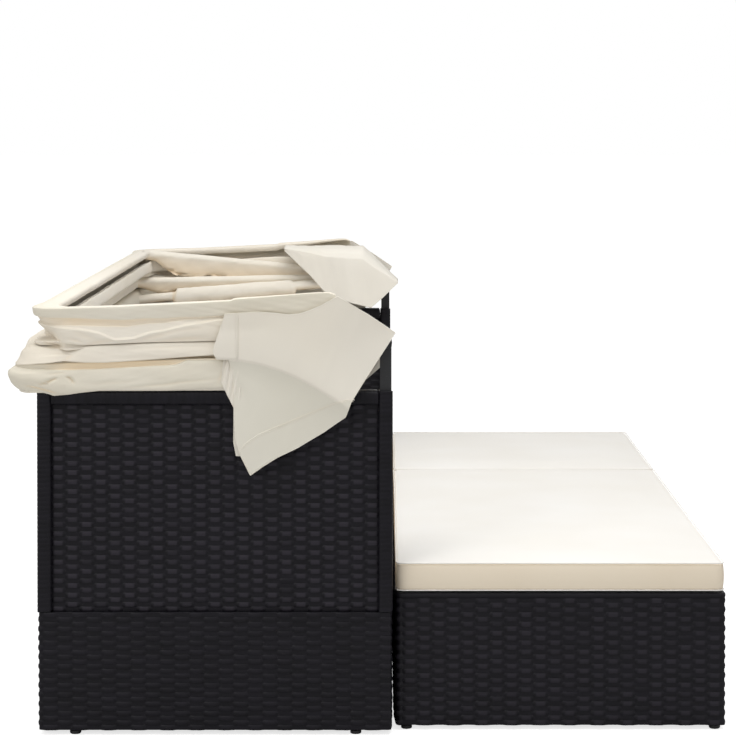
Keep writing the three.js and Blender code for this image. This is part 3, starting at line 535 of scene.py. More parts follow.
for side_name, sign in (("right", -1), ("left", 1)):
    y_out, y_in = sign * HALF_LENGTH, sign * ARM_INNER
    y_low, y_high = sorted((y_out, y_in))
    s_low, s_high = sorted((sign * skirt_face, y_in))
    bars = [
        ((SOFA_BACK, y_low, BAND_TOP), (x_back, y_high, ARM_TOP), "z"),
        ((x_front, y_low, BAND_TOP), (SOFA_FRONT, y_high, ARM_TOP), "z"),
        ((x_back, y_low, window_top), (x_front, y_high, ARM_TOP), "x"),
        ((x_back, s_low, BAND_TOP - RAIL_TALL), (x_front, s_high, BAND_TOP), "x"),
        ((x_back, s_low, foot), (x_front, s_high, BASE + RAIL_TALL), "x"),
        ((SOFA_BACK + POST_BACK, s_low, foot), (x_back, s_high, BAND_TOP), "z"),
        ((x_front, s_low, foot), (SOFA_FRONT - POST_BACK, s_high, BAND_TOP), "z"),
    ]
    arm = wrapped_frame(f"{side_name}_arm_frame", bars)
    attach(arm, "sofa")
    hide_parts(f"{side_name}_side_frame")
    low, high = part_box(f"{side_name}_side_weave")
    y = (low.y + high.y) / 2
    x0, x1 = low.x - WEAVE_TUCK, high.x + WEAVE_TUCK
    ends = [(x0, y), (x1, y)] if sign < 0 else [(x1, y), (x0, y)]
    panel = weave(f"{side_name}_arm_weave", PlanPath(ends, 0), low.z, high.z)
    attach(panel, "sofa")
    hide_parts(f"{side_name}_side_weave")

back_low, back_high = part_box("back_frame")
back_half = back_high.y
x_in = back_high.x
weave_low, weave_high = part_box("back_weave")
x_weave = weave_high.x + WEAVE_GAP
x_skirt = SOFA_BACK + RAIL_BACK
inner = back_half - POST_WIDE
bars = [
    ((SOFA_BACK, -back_half, BAND_TOP), (x_in, -inner, ARM_TOP), "z"),
    ((SOFA_BACK, inner, BAND_TOP), (x_in, back_half, ARM_TOP), "z"),
    ((x_weave, -POST_WIDE / 2, BAND_TOP), (x_in, POST_WIDE / 2, window_top), "z"),
    ((SOFA_BACK, -inner, window_top), (x_in, inner, ARM_TOP), "y"),
    ((x_skirt, -back_half, BAND_TOP - RAIL_TALL), (x_in, back_half, BAND_TOP), "y"),
    ((x_skirt, -back_half, foot), (x_in, back_half, BASE + RAIL_TALL), "y"),
    ((x_skirt, -back_half, BASE + RAIL_TALL), (x_in, -inner, BAND_TOP - RAIL_TALL), "z"),
    ((x_skirt, inner, BASE + RAIL_TALL), (x_in, back_half, BAND_TOP - RAIL_TALL), "z"),
]
rear = wrapped_frame("back_rails", bars)
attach(rear, "sofa")
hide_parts("back_frame")
x = (weave_low.x + weave_high.x) / 2
panel = weave(
    "back_panel_weave",
    PlanPath([(x, weave_high.y + WEAVE_TUCK), (x, weave_low.y - WEAVE_TUCK)], 0),
    weave_low.z,
    weave_high.z,
)
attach(panel, "sofa")
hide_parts("back_weave")

# The lower band runs round both arms and the back in one
left_run = [
    (SOFA_FRONT - WEAVE_HALF, ARM_INNER + 0.001),
    (SOFA_FRONT - WEAVE_HALF, HALF_LENGTH - WEAVE_HALF),
    (SOFA_BACK + WEAVE_HALF, HALF_LENGTH - WEAVE_HALF),
]
skirt_path = PlanPath(left_run + [(x, -y) for x, y in left_run[::-1]], CORNER_ROUND)
skirt = weave("sofa_skirt", skirt_path, BASE, BAND_TOP, polish=0.15)
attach(skirt, "sofa")
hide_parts("right_skirt_weave", "left_skirt_weave", "back_skirt_weave")
low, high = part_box("seat_front_weave")
x = high.x - WEAVE_HALF
front = weave("seat_front_band", PlanPath([(x, low.y), (x, high.y)], 0), low.z, high.z)
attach(front, "sofa")
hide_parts("seat_front_weave")

# The footstool's weave is one loop
x0, x1 = STOOL_LOW.x + WEAVE_HALF, STOOL_HIGH.x - WEAVE_HALF
y1 = STOOL_HIGH.y - WEAVE_HALF
loop = PlanPath([(x1, -y1), (x1, y1), (x0, y1), (x0, -y1)], CORNER_ROUND, closed=True)
# Its back bows out to the sofa, and comes back to the loop only near the corners. The bowed weave
# fills the gap, where the floor between them would lie in shade.
spare = STOOL_LOW.x - max(SOFA_FRONT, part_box("seat_front_weave")[1].x)
bow_out = min(STOOL_BOW, max(0.0, spare + 0.0003))
on_back = ease((x0 + WEAVE_TUCK - loop.points[:, 0]) / WEAVE_TUCK)
loop.points[:, 0] -= bow_out * on_back * (1 - np.abs(loop.points[:, 1] / y1) ** 40)
points, faces, tones = woven(loop, STOOL_LOW.z, STOOL_HIGH.z, rim=STOOL_RIM, polish=0.7)
# In two pieces, from opposite corners
share = (points[faces].mean(axis=1) - STOOL_LOW) / (STOOL_HIGH - STOOL_LOW)
ahead = share[:, 0] > share[:, 1]
bands = (("front", ahead, ("front", "right")), ("back", ~ahead, ("back", "left")))
for name, chosen, sides in bands:
    band = woven_piece(f"footstool_{name}_band", points, faces, tones, chosen)
    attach(band, "footstool")
    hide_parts(*[f"footstool_{side}_weave" for side in sides])


# Cushions

PUFF_LIMIT = 0.006
PUFF_TALL = 0.009
PUFF_STEPS = 16
PIPING = 0.0013


def cushion_shell(low, high, step):
    """A crowned slab with rounded upright corners whose sides draw in between them."""
    lx, ly = high.x - low.x, high.y - low.y
    nx, ny = max(8, round(lx / step)), max(8, round(ly / step))
    pull, corner, crown, foot, swell = 0.001, 0.011, 0.004, 0.0035, 0.003
    top = high.z + 0.001
    middle = Vector(((low.x + high.x) / 2, (low.y + high.y) / 2, 0))

    def outline(u, v):
        """The plan place of a share of the width and depth, each from -1 to 1."""
        hx, hy = lx / 2 - corner, ly / 2 - corner
        x, y = u * lx / 2, v * ly / 2
        dx, dy = max(abs(x) - hx, 0), max(abs(y) - hy, 0)
        if dx and dy:
            reach = math.hypot(dx, dy)
            most = max(dx, dy)
            x = math.copysign(hx + dx * most / reach, x)
            y = math.copysign(hy + dy * most / reach, y)
        x -= pull * (1 - v * v) * math.copysign(abs(u) ** 9, u)
        y -= pull * (1 - u * u) * math.copysign(abs(v) ** 9, v)
        return middle.x + x, middle.y + y

    bm = bmesh.new()
    us = np.linspace(-1, 1, nx + 1)
    vs = np.linspace(-1, 1, ny + 1)
    layers = []
    for is_top in (True, False):
        grid = []
        for v in vs:
            row = []
            for u in us:
                x, y = outline(u, v)
                rise = crown * (1 - u**6) * (1 - v**6)
                z = top + rise if is_top else low.z + foot * (1 - rise / crown)
                row.append(bm.verts.new((x, y, z)))
            grid.append(row)
        layers.append(grid)
        for j in range(ny):
            for i in range(nx):
                face = [grid[j][i], grid[j][i + 1], grid[j + 1][i + 1], grid[j + 1][i]]
                bm.faces.new(face if is_top else face[::-1])
    rim = [(0, i) for i in range(nx)] + [(j, nx) for j in range(ny)]
    rim += [(ny, i) for i in range(nx, 0, -1)] + [(j, 0) for j in range(ny, 0, -1)]
    levels = 5
    rings = [[layers[0][j][i] for j, i in rim]]
    for k in range(1, levels):
        share = k / levels
        z = top + (low.z + foot - top) * share
        ring = []
        for vert in rings[0]:
            out = Vector((vert.co.x, vert.co.y, 0)) - middle
            size = Vector((out.x / lx, out.y / ly, 0))
            bow = swell * math.sin(math.pi * share) * min(1, size.length * 2)
            push = out.normalized() * bow
            ring.append(bm.verts.new((vert.co.x + push.x, vert.co.y + push.y, z)))
        rings.append(ring)
    rings.append([layers[1][j][i] for j, i in rim])
    count = len(rim)
    for above, below in zip(rings, rings[1:]):
        for i in range(count):
            k = (i + 1) % count
            bm.faces.new([above[i], below[i], below[k], above[k]])
    bmesh.ops.recalc_face_normals(bm, faces=bm.faces)
    seams = [[v.co.copy() for v in rings[0]], [v.co.copy() for v in rings[-1]]]
    return bm, seams


def puff(piece, seams, low, high):
    """Swells a cushion with Blender's cloth between its seams, then keeps the result."""
    scene = bpy.context.scene
    rest = np.array([v.co for v in piece.data.vertices])
    # The points of the seams stay where they are
    group = piece.vertex_groups.new(name="seams")
    seam_points = np.array([p for seam in seams for p in seam])
    away = [np.abs(seam_points - point).sum(1).min() for point in rest]
    group.add([i for i, distance in enumerate(away) if distance < 1e-4], 1.0, "REPLACE")
    cloth = piece.modifiers.new("cloth", "CLOTH")
    settings = cloth.settings
    settings.quality = 4
    settings.mass = 0.4
    settings.tension_stiffness = settings.compression_stiffness = 25
    settings.shear_stiffness = 12
    settings.bending_stiffness = 1.2
    settings.vertex_group_mass = "seams"
    settings.use_pressure = True
    settings.uniform_pressure_force = 2.6
    settings.effector_weights.gravity = 0
    cloth.collision_settings.use_collision = False
    cloth.point_cache.frame_start, cloth.point_cache.frame_end = 1, PUFF_STEPS
    for step in range(PUFF_STEPS):
        scene.frame_set(step + 1)
    shaped = piece.evaluated_get(bpy.context.evaluated_depsgraph_get()).to_mesh()
    moved = np.array([v.co for v in shaped.vertices]) - rest
    piece.modifiers.remove(cloth)
    scene.frame_set(1)
    length = np.linalg.norm(moved, axis=1)
    moved *= np.minimum(1, PUFF_LIMIT / np.maximum(length, 1e-9))[:, None]
    final = rest + moved
    final[:, 2] = np.clip(final[:, 2], low.z, high.z + PUFF_TALL)
    piece.data.vertices.foreach_set("co", final.astype(np.float32).ravel())
    piece.data.update()


def tube_along(line, radius, sides=6, closed=True):
    """Points and faces of a thin round tube along a line of points."""
    line = np.asarray(line, float)
    count = len(line)
    if closed:
        forward = np.roll(line, -1, axis=0) - np.roll(line, 1, axis=0)
    else:
        forward = np.gradient(line, axis=0)
    aside, above = beside(unit(forward))
    turns = np.linspace(0, 2 * math.pi, sides, endpoint=False)[:, None]
    points = line[:, None] + radius * (
        aside[:, None] * np.cos(turns) + above[:, None] * np.sin(turns)
    )
    faces = grid_faces(count, sides, wrap=True)
    if closed:
        j = np.arange(sides)
        last = (count - 1) * sides
        k = (j + 1) % sides
        seam = np.stack([last + j, last + k, k, j], axis=1)
        faces = np.concatenate([faces, seam])
    return points.reshape(-1, 3), faces


for node_name, body in (
    ("seat_cushion_long", "sofa"), ("seat_cushion_short", "sofa"),
    ("footstool_cushion_long", "footstool"), ("footstool_cushion_short", "footstool"),
):
    low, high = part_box(node_name)
    bm, seams = cushion_shell(low, high, 0.014)
    mesh = bpy.data.meshes.new(node_name.replace("cushion", "pad"))
    bm.to_mesh(mesh)
    bm.free()
    mesh.materials.append(CUSHION)
    mesh.materials.append(SHADED_BOXING)
    # Upright faces take the darker copy of the cloth, as painted shade
    for polygon in mesh.polygons:
        polygon.use_smooth = True
        polygon.material_index = 1 if abs(polygon.normal.z) < 0.6 else 0
    pad = bpy.data.objects.new(mesh.name, mesh)
    bpy.context.scene.collection.objects.link(pad)
    puff(pad, seams, low, high)
    rounding = pad.modifiers.new("smooth", "SUBSURF")
    rounding.levels = rounding.render_levels = 1
    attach(pad, body)
    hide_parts(node_name)
    cords = [tube_along(np.array(seams[k]) + (0, 0, k * PIPING), PIPING) for k in (0, 1)]
    cord = new_piece(mesh.name + "_piping", *joined(cords), CUSHION)
    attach(cord, body)


# Canopy: folded cloth on the arms and behind the seat

MM = 0.001
ARM_CENTRE = 0.940  # half width at the middle of the folds on the arms
ARM_HALF = 0.017
BEND = 0.046
BEND_STEPS = 16
CORNER_BULGE = 0.0065
CUFF_X = 378  # from the sofa's back, in millimetres, as are the tables of the folds
HEM_X = 562
PLAIN_TONE = 0.12
OUTER_SHARE = 0.55
OUTER_SAMPLES, INNER_SAMPLES = 8, 2


class FoldPath:
    """The run of a folded sheet: from one arm's end, round behind the seat, to the other's."""

    def __init__(self, bar_out, bar_in, end, step=0.0032):
        centre = SOFA_BACK + (bar_out + bar_in) / 2 * MM
        bend_x, bend_y = centre + BEND, ARM_CENTRE - BEND
        half_bar = (bar_in - bar_out) / 2 * MM
        end_x = SOFA_BACK + end * MM
        arm = round((end_x - bend_x) / step)
        rows = [
            (end_x + (bend_x - end_x) * i / arm, -ARM_CENTRE, 0.0, ARM_HALF) for i in range(arm)
        ]
        for share in np.linspace(0, 1, BEND_STEPS + 1):
            turn = share * math.pi / 2
            x = bend_x - BEND * math.sin(turn)
            y = -bend_y - BEND * math.cos(turn)
            rows.append((x, y, turn, ARM_HALF + (half_bar - ARM_HALF) * share))
        mirrored = [(x, -y, math.pi - turn, half) for x, y, turn, half in reversed(rows)]
        bar = round(2 * bend_y / (3.75 * step))
        for i in range(1, bar):
            rows.append((centre, -bend_y + 2 * bend_y * i / bar, math.pi / 2, half_bar))
        rows = np.array(rows + mirrored)
        self.centre = rows[:, :2]
        self.normal = np.stack([-np.sin(rows[:, 2]), -np.cos(rows[:, 2])], axis=1)
        self.half = rows[:, 3]
        self.s = run(self.centre)
        self.x = (rows[:, 0] - SOFA_BACK) / MM
        aside = np.abs(rows[:, 1])
        # 1 behind the seat, away from the corners, and 1 at the corners
        self.behind = ease((bend_y - 0.03 - aside) / 0.08)
        self.corner = ease((62 - self.x) / 34) * ease((aside - bend_y + 0.1) / 0.08)

    def table(self, *stops):
        """A value that changes along the arms, from (distance in front of the back, value)."""
        places, values = zip(*stops)
        return np.interp(self.x, places, values)


def through(controls, counts):
    """Catmull-Rom curves through rows of control points, with a count of samples for each span."""
    p = np.concatenate([controls[:, :1], controls, controls[:, -1:]], axis=1)
    spans = []
    for k, count in enumerate(counts):
        a, b, c, d = (p[:, k + i, None] for i in range(4))
        t = (np.arange(count) / count)[None, :, None]
        spans.append(
            0.5
            * (
                2 * b
                + (c - a) * t
                + (2 * a - 5 * b + 4 * c - d) * t**2
                + (3 * b - a - 3 * c + d) * t**3
            )
        )
    return np.concatenate([*spans, controls[:, -1:]], axis=1)


def crease_depth(x, rise, creases):
    """How far creases pull the cloth in, each from one place to another on the arm's side."""
    depth = np.zeros(np.broadcast(x, rise).shape)
    for x0, z0, x1, z1, deep, wide in creases:
        run, climb = x1 - x0, z1 - z0
        share = ((x - x0) * run + (rise - z0) * climb) / (run**2 + climb**2)
        end = np.clip(share, 0, 1)
        away = np.hypot(x - x0 - end * run, rise - z0 - end * climb)
        taper = ease(1 - np.abs(2 * end - 1)) ** 0.5
        depth += deep * (0.25 + 0.75 * taper) * np.exp(-((away / wide) ** 2))
    return depth


def folded_sheet(name, path, controls, seed, creases=(), hem=None):
    """A sheet along a path. controls are (share of the half width, rise above the arms in mm)
    and may have a tone, the share of painted shade, each a number or one value for every place
    on the path. Outer spans get more samples. hem is the rise of a two-layer band's lower edge;
    the band above it takes the darker copy of the cloth, as painted shade."""
    count = len(path.x)
    table = np.empty((count, len(controls), 3))
    for k, (share, rise, *tone) in enumerate(controls):
        table[:, k, 0] = share
        table[:, k, 1] = rise
        table[:, k, 2] = tone[0] if tone else PLAIN_TONE
    outer = table[..., 0].mean(axis=0) > OUTER_SHARE
    section = through(table, np.where(outer[:-1] | outer[1:], OUTER_SAMPLES, INNER_SAMPLES))
    out, rise, tone = section[..., 0], section[..., 1], section[..., 2]
    low, high = rise.min(axis=1, keepdims=True), rise.max(axis=1, keepdims=True)
    inside = np.clip(1 - np.abs(2 * (rise - low) / (high - low) - 1), 0, 1) ** 0.5
    s = path.s[:, None]
    broad, fine = Ripple(seed, 0.5, 0.12), Ripple(seed + 1, 0.13, 0.04)
    tiny = Ripple(seed + 2, 0.045, 0.016)
    swing = 1.2 * broad(s, rise * 0.005) + 0.45 * fine(s, rise * 0.007)
    swing = swing + 0.08 * tiny(s, rise * 0.01)
    pulled = crease_depth(path.x[:, None], rise, creases) * ease((out - 0.7) / 0.2)
    reach = out * path.half[:, None] + (swing * inside - pulled) * MM
    reach += CORNER_BULGE * path.corner[:, None] * np.clip(out, 0, 1)
    points = np.empty((*out.shape, 3))
    for k in (0, 1):
        points[..., k] = path.centre[:, None, k] + path.normal[:, None, k] * reach
    points[..., 2] = ARM_TOP + (rise + 0.8 * inside * fine(s + 3)) * MM
    faces = grid_faces(*out.shape)[:, ::-1]
    sheet = new_piece(name, points, faces, CANVAS)
    # Creases get more tone: painted shade along them
    set_painted_light(sheet, np.clip(tone + 0.1 * np.clip(pulled - 0.4, 0, 3), 0, 1))
    if hem is not None:
        # The band above the hem line takes the darker copy of the cloth, as painted shade
        sheet.data.materials.append(SHADED_CANVAS)
        banded = (rise > hem[:, None]) & (out > 0.3)
        index = banded.ravel()[faces].all(axis=1)
        sheet.data.polygons.foreach_set("material_index", index.astype(np.int32))
    return sheet


def pleats(base, high, shares):
    """Hidden layers of a fold, from (share of the half width, share of the height)."""
    return [(n, base + (high - base) * share) for n, share in shares]


# Front layer, between the middle and the front bow. From its top: the hem band, the recess
# under it, the drape with its sag, and the layers folded up behind that.
front_path = FoldPath(-8, 35, HEM_X, step=0.0042)
row = front_path.table
base = row((-10, 91), (CUFF_X, 96.5), (474, 125), (514, 137), (540, 149), (HEM_X, 163))
# The band's end laps over the rest of it
band_top = row(
    (10, 157), (150, 161), (367, 171.5), (371, 174.5), (470, 181), (530, 185.5), (550, 185.5),
    (HEM_X, 181),
)
band_low = row(
    (0, 140.6), (90, 137), (160, 135), (288, 140.6), (356, 143), (474, 143), (514, 150), (540, 160),
    (HEM_X, 170),
)
recess = row(
    (0, 131), (44, 124), (167, 121), (288, 134), (356, 138), (474, 140), (514, 147.5), (540, 158),
    (HEM_X, 168.5),
)
drape = row(
    (0, 129), (44, 122), (100, 116), (120, 112), (147, 101), (182, 103), (215, 113), (249, 119),
    (300, 130), (340, 135), (474, 137), (514, 145.5), (540, 156), (HEM_X, 167),
)
drape_low = row(
    (0, 90), (51, 89.7), (87, 87), (200, 92), (337, 95), (CUFF_X, 98), (474, 126), (514, 138),
    (540, 150), (HEM_X, 164),
)
inner_base = base + row((0, 9), (CUFF_X, 9), (HEM_X, 1))
tight = row((CUFF_X, 1), (HEM_X, 0.12))
swell = row((0, 0), (60, 1), (300, 1), (345, 0), (367, 0), (371, 0.7), (480, 0.7), (HEM_X, 0))
# Painted warm shade in the recess under the hem band, fading towards the cuff
recess_shade = row((0, 0.1), (40, 0.38), (70, 0.62), (200, 0.46), (300, 0.24), (CUFF_X, 0.12))
front_controls = [
    (-0.55, band_top - 17 * tight), (-0.75, band_top - 12 * tight),
    (-0.84, band_top - 6 * tight), (-0.7, band_top - 1.5 * tight), (-0.2, band_top),
    (0.6, band_top + 0.2), (0.92, band_top - 0.6 * tight),
    (1.02 + 0.05 * swell, band_top - 3.0 * tight),
    (1.0, band_top * 0.45 + band_low * 0.55), (0.97 - 0.05 * swell, band_low + 3 * tight),
    (0.92 - 0.05 * swell, band_low + 0.2 * tight, recess_shade * 0.5),
    (0.8, band_low - 1.0 * tight, recess_shade), (0.68, band_low - 2.6 * tight, recess_shade),
    (0.62, band_low * 0.6 + recess * 0.4, recess_shade), (0.64, recess + 1.6 * tight, recess_shade * 0.8),
    (0.72, recess - 0.4 * tight, recess_shade * 0.3),
    (0.8, recess * 0.6 + drape * 0.4 - 1.2 * tight, 0.1), (0.88, drape + 0.4 * tight, 0.1),
    (0.96, drape - 1.0 * tight), (1.02 + 0.05 * swell, drape - 4 * tight),
    (1.02 + 0.05 * swell, drape * 0.6 + drape_low * 0.4), (0.98, drape_low + 6 * tight),
    (0.9, drape_low + 1.6 * tight), (0.8, drape_low + 1 * tight),
    *pleats(
        inner_base, recess,
        [
            (0.52, 0.04), (0.36, 0.12), (0.27, 0.42), (0.18, 0.6), (0.08, 0.5), (0.03, 0.18),
            (-0.05, 0.08), (-0.13, 0.22), (-0.2, 0.7), (-0.28, 0.92), (-0.38, 0.75),
            (-0.42, 0.2), (-0.5, 0.1), (-0.58, 0.25), (-0.66, 0.8), (-0.78, 1.0), (-0.9, 0.85),
            (-0.93, 0.25), (-0.8, 0.02),
        ],
    ),
    (-0.3, base + 7.5 * tight), (0.2, base + 7 * tight), (0.5, base + 5.5 * tight),
]
# At the corners the cloth draws in below the hem band
drawn = 0.92 * ease((62 - front_path.x) / 44) * (1 - front_path.behind)


def drawn_in(n, rise):
    edge = np.interp(rise, (91, 134), (-0.9, 1))
    return n + drawn * ((n + 1) * (edge + 1) / 2 - 1 - n)


# The sheet's lower edge reaches back over the middle bow behind the seat, and laps over the
# middle layer beside the corners
onto = ease((66 - front_path.x) / 40) * (0.5 + 0.5 * front_path.behind)
lap = ease((115 - front_path.x) / 20) * ease((front_path.x - 22) / 20)
sink = np.interp(front_path.x, (30, 46, 60, 80, 100), (0, 0.35, 0.5, 0.35, 0))


def lapped(plain, over):
    return plain + (over - plain) * lap


front_edge = [
    (0.52 + 0.08 * onto, base + (3 - 2.2 * onto) * tight),
    (0.5 + 0.6 * onto, base + (1.5 - 2.1 * onto) * tight),
    (
        lapped(0.3 + 1.25 * onto, drawn_in(0.55, 91)),
        lapped(base + 0.5 * tight - 1.8 * onto - 1.2 * front_path.corner, base - 5 - 6 * sink),
    ),
    (
        lapped(-0.1 + 1.9 * onto, drawn_in(0.8, 91)),
        lapped(base - 5 * onto - 3 * front_path.corner, base - 8 - 14 * sink),
    ),
]
front_controls = [(drawn_in(n, rise), rise, *tone) for n, rise, *tone in front_controls]
front_controls += front_edge
front_creases = [
    (96, 88, 150, 98, 1.8, 4), (190, 94, 262, 114, 1.6, 5), (214, 92, 320, 104, 1.6, 4),
    (250, 112, 330, 122, 1.0, 5), (66, 112, 120, 94, 1.2, 7), (60, 100, 88, 92, 1.6, 3),
    (300, 128, 345, 138, 1.2, 3), (262, 96, 340, 100, 1.0, 3),
]
front_sheet = folded_sheet(
    "front_canopy_cloth", front_path, front_controls, 11, creases=front_creases, hem=band_low
)
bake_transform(front_sheet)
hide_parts("front_fold")

# Middle layer, between the rear and the middle bow: a roll that flattens towards the corner
middle_path = FoldPath(-42, 2, CUFF_X)
row = middle_path.table
base = row((-20, 54.5), (CUFF_X, 67.5))
top = row((-20, 89.5), (CUFF_X, 95.2))
roll_top = row((-20, 87), (40, 86), (63, 82), (88, 85.5), (148, 88.5), (234, 92), (CUFF_X, 95))
roll_low = row(
    (-20, 45.5), (10, 52), (51, 57), (90, 54.5), (130, 54.5), (200, 59), (334, 69), (CUFF_X, 70)
)
full = np.maximum(row((48, 0), (92, 1)), middle_path.behind)
turned = ease((62 - middle_path.x) / 34)


def between(at_corner, on_arm):
    return at_corner + (on_arm - at_corner) * full


middle_controls = [
    (-0.5 - 0.45 * turned, top - 12.5), (-0.45 - 0.45 * turned, top - 3 + 2.4 * turned),
    (between(-0.3, 0.1) - 0.3 * turned, between(roll_top - 1, top)),
    (between(0.1, 0.5), between(roll_top - 5, roll_top + 0.6)),
    (between(0.4, 0.74), between(roll_top - 11, roll_top - 1.6)),
    (between(0.58, 0.9), between(roll_top - 17, roll_top - 8)),
    (between(0.76, 1.02), between(roll_low + 12, roll_top * 0.4 + roll_low * 0.6)),
    (between(0.94, 1.07), roll_low + between(3.5, 5)), (between(0.97, 1.07), roll_low + 1.4),
    (between(0.9, 0.98), roll_low), (0.8, roll_low + 0.8), (0.62, roll_low + 1.8),
    *pleats(
        base + 6, top,
        [
            (0.4, 0.02), (0.2, 0.0), (-0.2, 0.03), (-0.3, 0.25), (-0.36, 0.5), (-0.46, 0.6),
            (-0.54, 0.5), (-0.56, 0.2), (-0.64, 0.05), (-0.72, 0.2), (-0.78, 0.7), (-0.86, 0.82),
            (-0.94, 0.68), (-0.95, 0.15), (-0.85, 0.01),
        ],
    ),
    (-0.2, base + 5.5), (0.3, base + 5), (0.55, base + 4.2), (0.58, base + 2.2),
    (0.54, base + 0.8), (0.3, base), (-0.1, base),
]
middle_creases = [
    (52, 54, 72, 78, 2.0, 5), (150, 80, 330, 86, 0.9, 3), (120, 62, 300, 66, 0.7, 4),
]
middle_sheet = folded_sheet(
    "middle_canopy_cloth", middle_path, middle_controls, 23, creases=middle_creases
)
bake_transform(middle_sheet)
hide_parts("middle_fold")

# Rear layer, rolled round the rear bow. Its outer lap hangs a little over the arm's edge.
rear_path = FoldPath(-53, 9, CUFF_X)
row = rear_path.table
top = row((-20, 52), (CUFF_X, 64))
pocket = row((-20, 41), (51, 40.3), (142, 44), (264, 51), (285, 60), (CUFF_X, 61))
pinch = row((240, 0.64), (290, 0.84))
lip = row(
    (-22, -6), (-6, -6), (2, -2), (12, -4), (33, -10), (58, -7), (81, -3.6), (120, 0.5),
    (233, 0.6), (343, 5), (CUFF_X, 6),
)
under = row((-22, -5), (10, -3), (26, 0.8))
round_end = row((-22, 1), (0, 0.8), (60, 0))
# shade: how much painted shade lies in the pocket under the middle layer's lip
shade = row((10, 0.15), (60, 0.75), (200, 0.8), (320, 0.5))
rear_controls = [
    *[
        (n, top * share)
        for n, share in [
            (0.4, 0.72), (0.2, 0.78), (-0.1, 0.66), (-0.14, 0.46), (0.1, 0.27), (0.45, 0.28),
            (0.58, 0.46), (0.5, 0.72), (0.3, 0.88), (-0.2, 0.9), (-0.5, 0.84), (-0.64, 0.5),
            (-0.5, 0.17), (0.2, 0.11), (0.6, 0.2), (0.72, 0.42), (0.66, 0.7), (0.45, 0.9),
            (0.1, 0.985), (-0.4, 0.97), (-0.78, 0.87), (-0.92, 0.5), (-0.8, 0.12),
        ]
    ],
    (-0.3, under), (0.3 - 0.1 * round_end, under),
    (0.6 - 0.15 * round_end, under * 0.7 + lip * 0.3),
    (0.72 - 0.2 * round_end, lip + 0.6 + 4 * round_end),
    (0.86 - 0.12 * round_end, lip + 2 + 8 * round_end),
    (0.97 - 0.02 * round_end, lip + 7 + 12 * round_end),
    (1.03 + 0.05 * round_end, lip + 17 + 14 * round_end),
    (1.03, (lip + pocket) / 2 + 5 + 11 * round_end),
    (0.97 - 0.12 * round_end, pocket - 6 + 4 * round_end),
    (0.87 - 0.14 * round_end, pocket - 1.4 + 3 * round_end),
    (pinch + 0.12 - 0.1 * round_end, pocket + 0.2 + 2 * round_end, shade * 0.7),
    (pinch + 0.04, pocket + 1.6, shade), (pinch + 0.02, (pocket + top) / 2, shade),
    (pinch + 0.04, top - 2, shade), (pinch - 0.1, top + 0.2),
]
rear_creases = [
    (12, 13, 30, 21, 4.6, 1.8), (24, 20, 40, 25, 4.2, 2.0), (57, 28, 66, 25, 4.2, 1.8),
    (64, 26, 72, 15, 4.6, 2.0), (-6, 12, 20, 4, 4.2, 2.0), (14, 5, 40, -3, 3.6, 2.0),
    (20, 32, 62, 37, 1.4, 3), (170, 6, 345, 25, 1.5, 3.2), (90, 14, 200, 20, 1.0, 5),
    (352, 12, 360, 58, 2.0, 3), (340, 10, 350, 40, 1.4, 3), (362, 8, 368, 50, 2.0, 2.6),
]
rear_sheet = folded_sheet("rear_canopy_cloth", rear_path, rear_controls, 37, creases=rear_creases)
# The whole rear roll takes the darker copy of the cloth, as painted shade
rear_sheet.data.materials[0] = SHADED_CANVAS
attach(rear_sheet, "rear_bow")
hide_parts("rear_fold")


# Sleeves of the same cloth on the bows' legs

PIVOT = np.array([PIVOT_X, PIVOT_Z])
BARS = {"front": (12, 147, 0.906), "middle": (-26, 73, 0.8805), "rear": (-30, 26.5, 0.855)}


def sleeve(line, wide, tall, hang, seed, sides=30):
    """Cloth wrapped round a line and lapped underneath, with wrinkles. It hangs below the line."""
    aside, up = beside(unit(np.gradient(line, axis=0)))
    turn = np.linspace(-0.5 * math.pi, 1.62 * math.pi, sides)
    s = run(line)[:, None]
    rough = 1 + 0.07 * ease((turn - 1.2 * math.pi) / 0.9)[None]
    rough = rough + 0.05 * Ripple(seed, 0.2, 0.05)(s, turn * 0.2)
    rough = rough + 0.03 * Ripple(seed + 1, 0.05, 0.02)(s, turn * 0.5)
    below = np.clip(-np.sin(turn), 0, 1)[None]
    slack = 1 + 0.12 * Ripple(seed + 2, 0.16, 0.06)(s, turn * 0.1) * below
    deep = (tall[:, None] + (hang - tall)[:, None] * below**0.7) * rough * slack
    slim = wide[:, None] * (1 - 0.45 * below * ease((hang / tall - 1))[:, None])
    fold = 0.0016 * Ripple(seed + 3, 0.11, 0.035)(s, turn * 0.08) * below
    fold = fold * (hang / tall - 1)[:, None]
    points = line[:, None] + up[:, None] * (deep * np.sin(turn))[..., None]
    points = points + aside[:, None] * (slim * rough * np.cos(turn) + fold)[..., None]
    # Painted shade on the sleeve's underside, and a little all round
    tones = 0.1 + 0.55 * below * np.ones(len(line))[:, None]
    return points, grid_faces(len(line), sides), tones


BOW_BEND = 0.070
KNUCKLE_REACH = 0.056
SLEEVE_WIDE, SLEEVE_TALL = 0.0112, 0.0115
SLEEVE_HANG = {"front": 0.032, "middle": 0.017, "rear": 0}
SLEEVE_ROUND = {"front": 0.13, "middle": 0.11, "rear": 0.085}

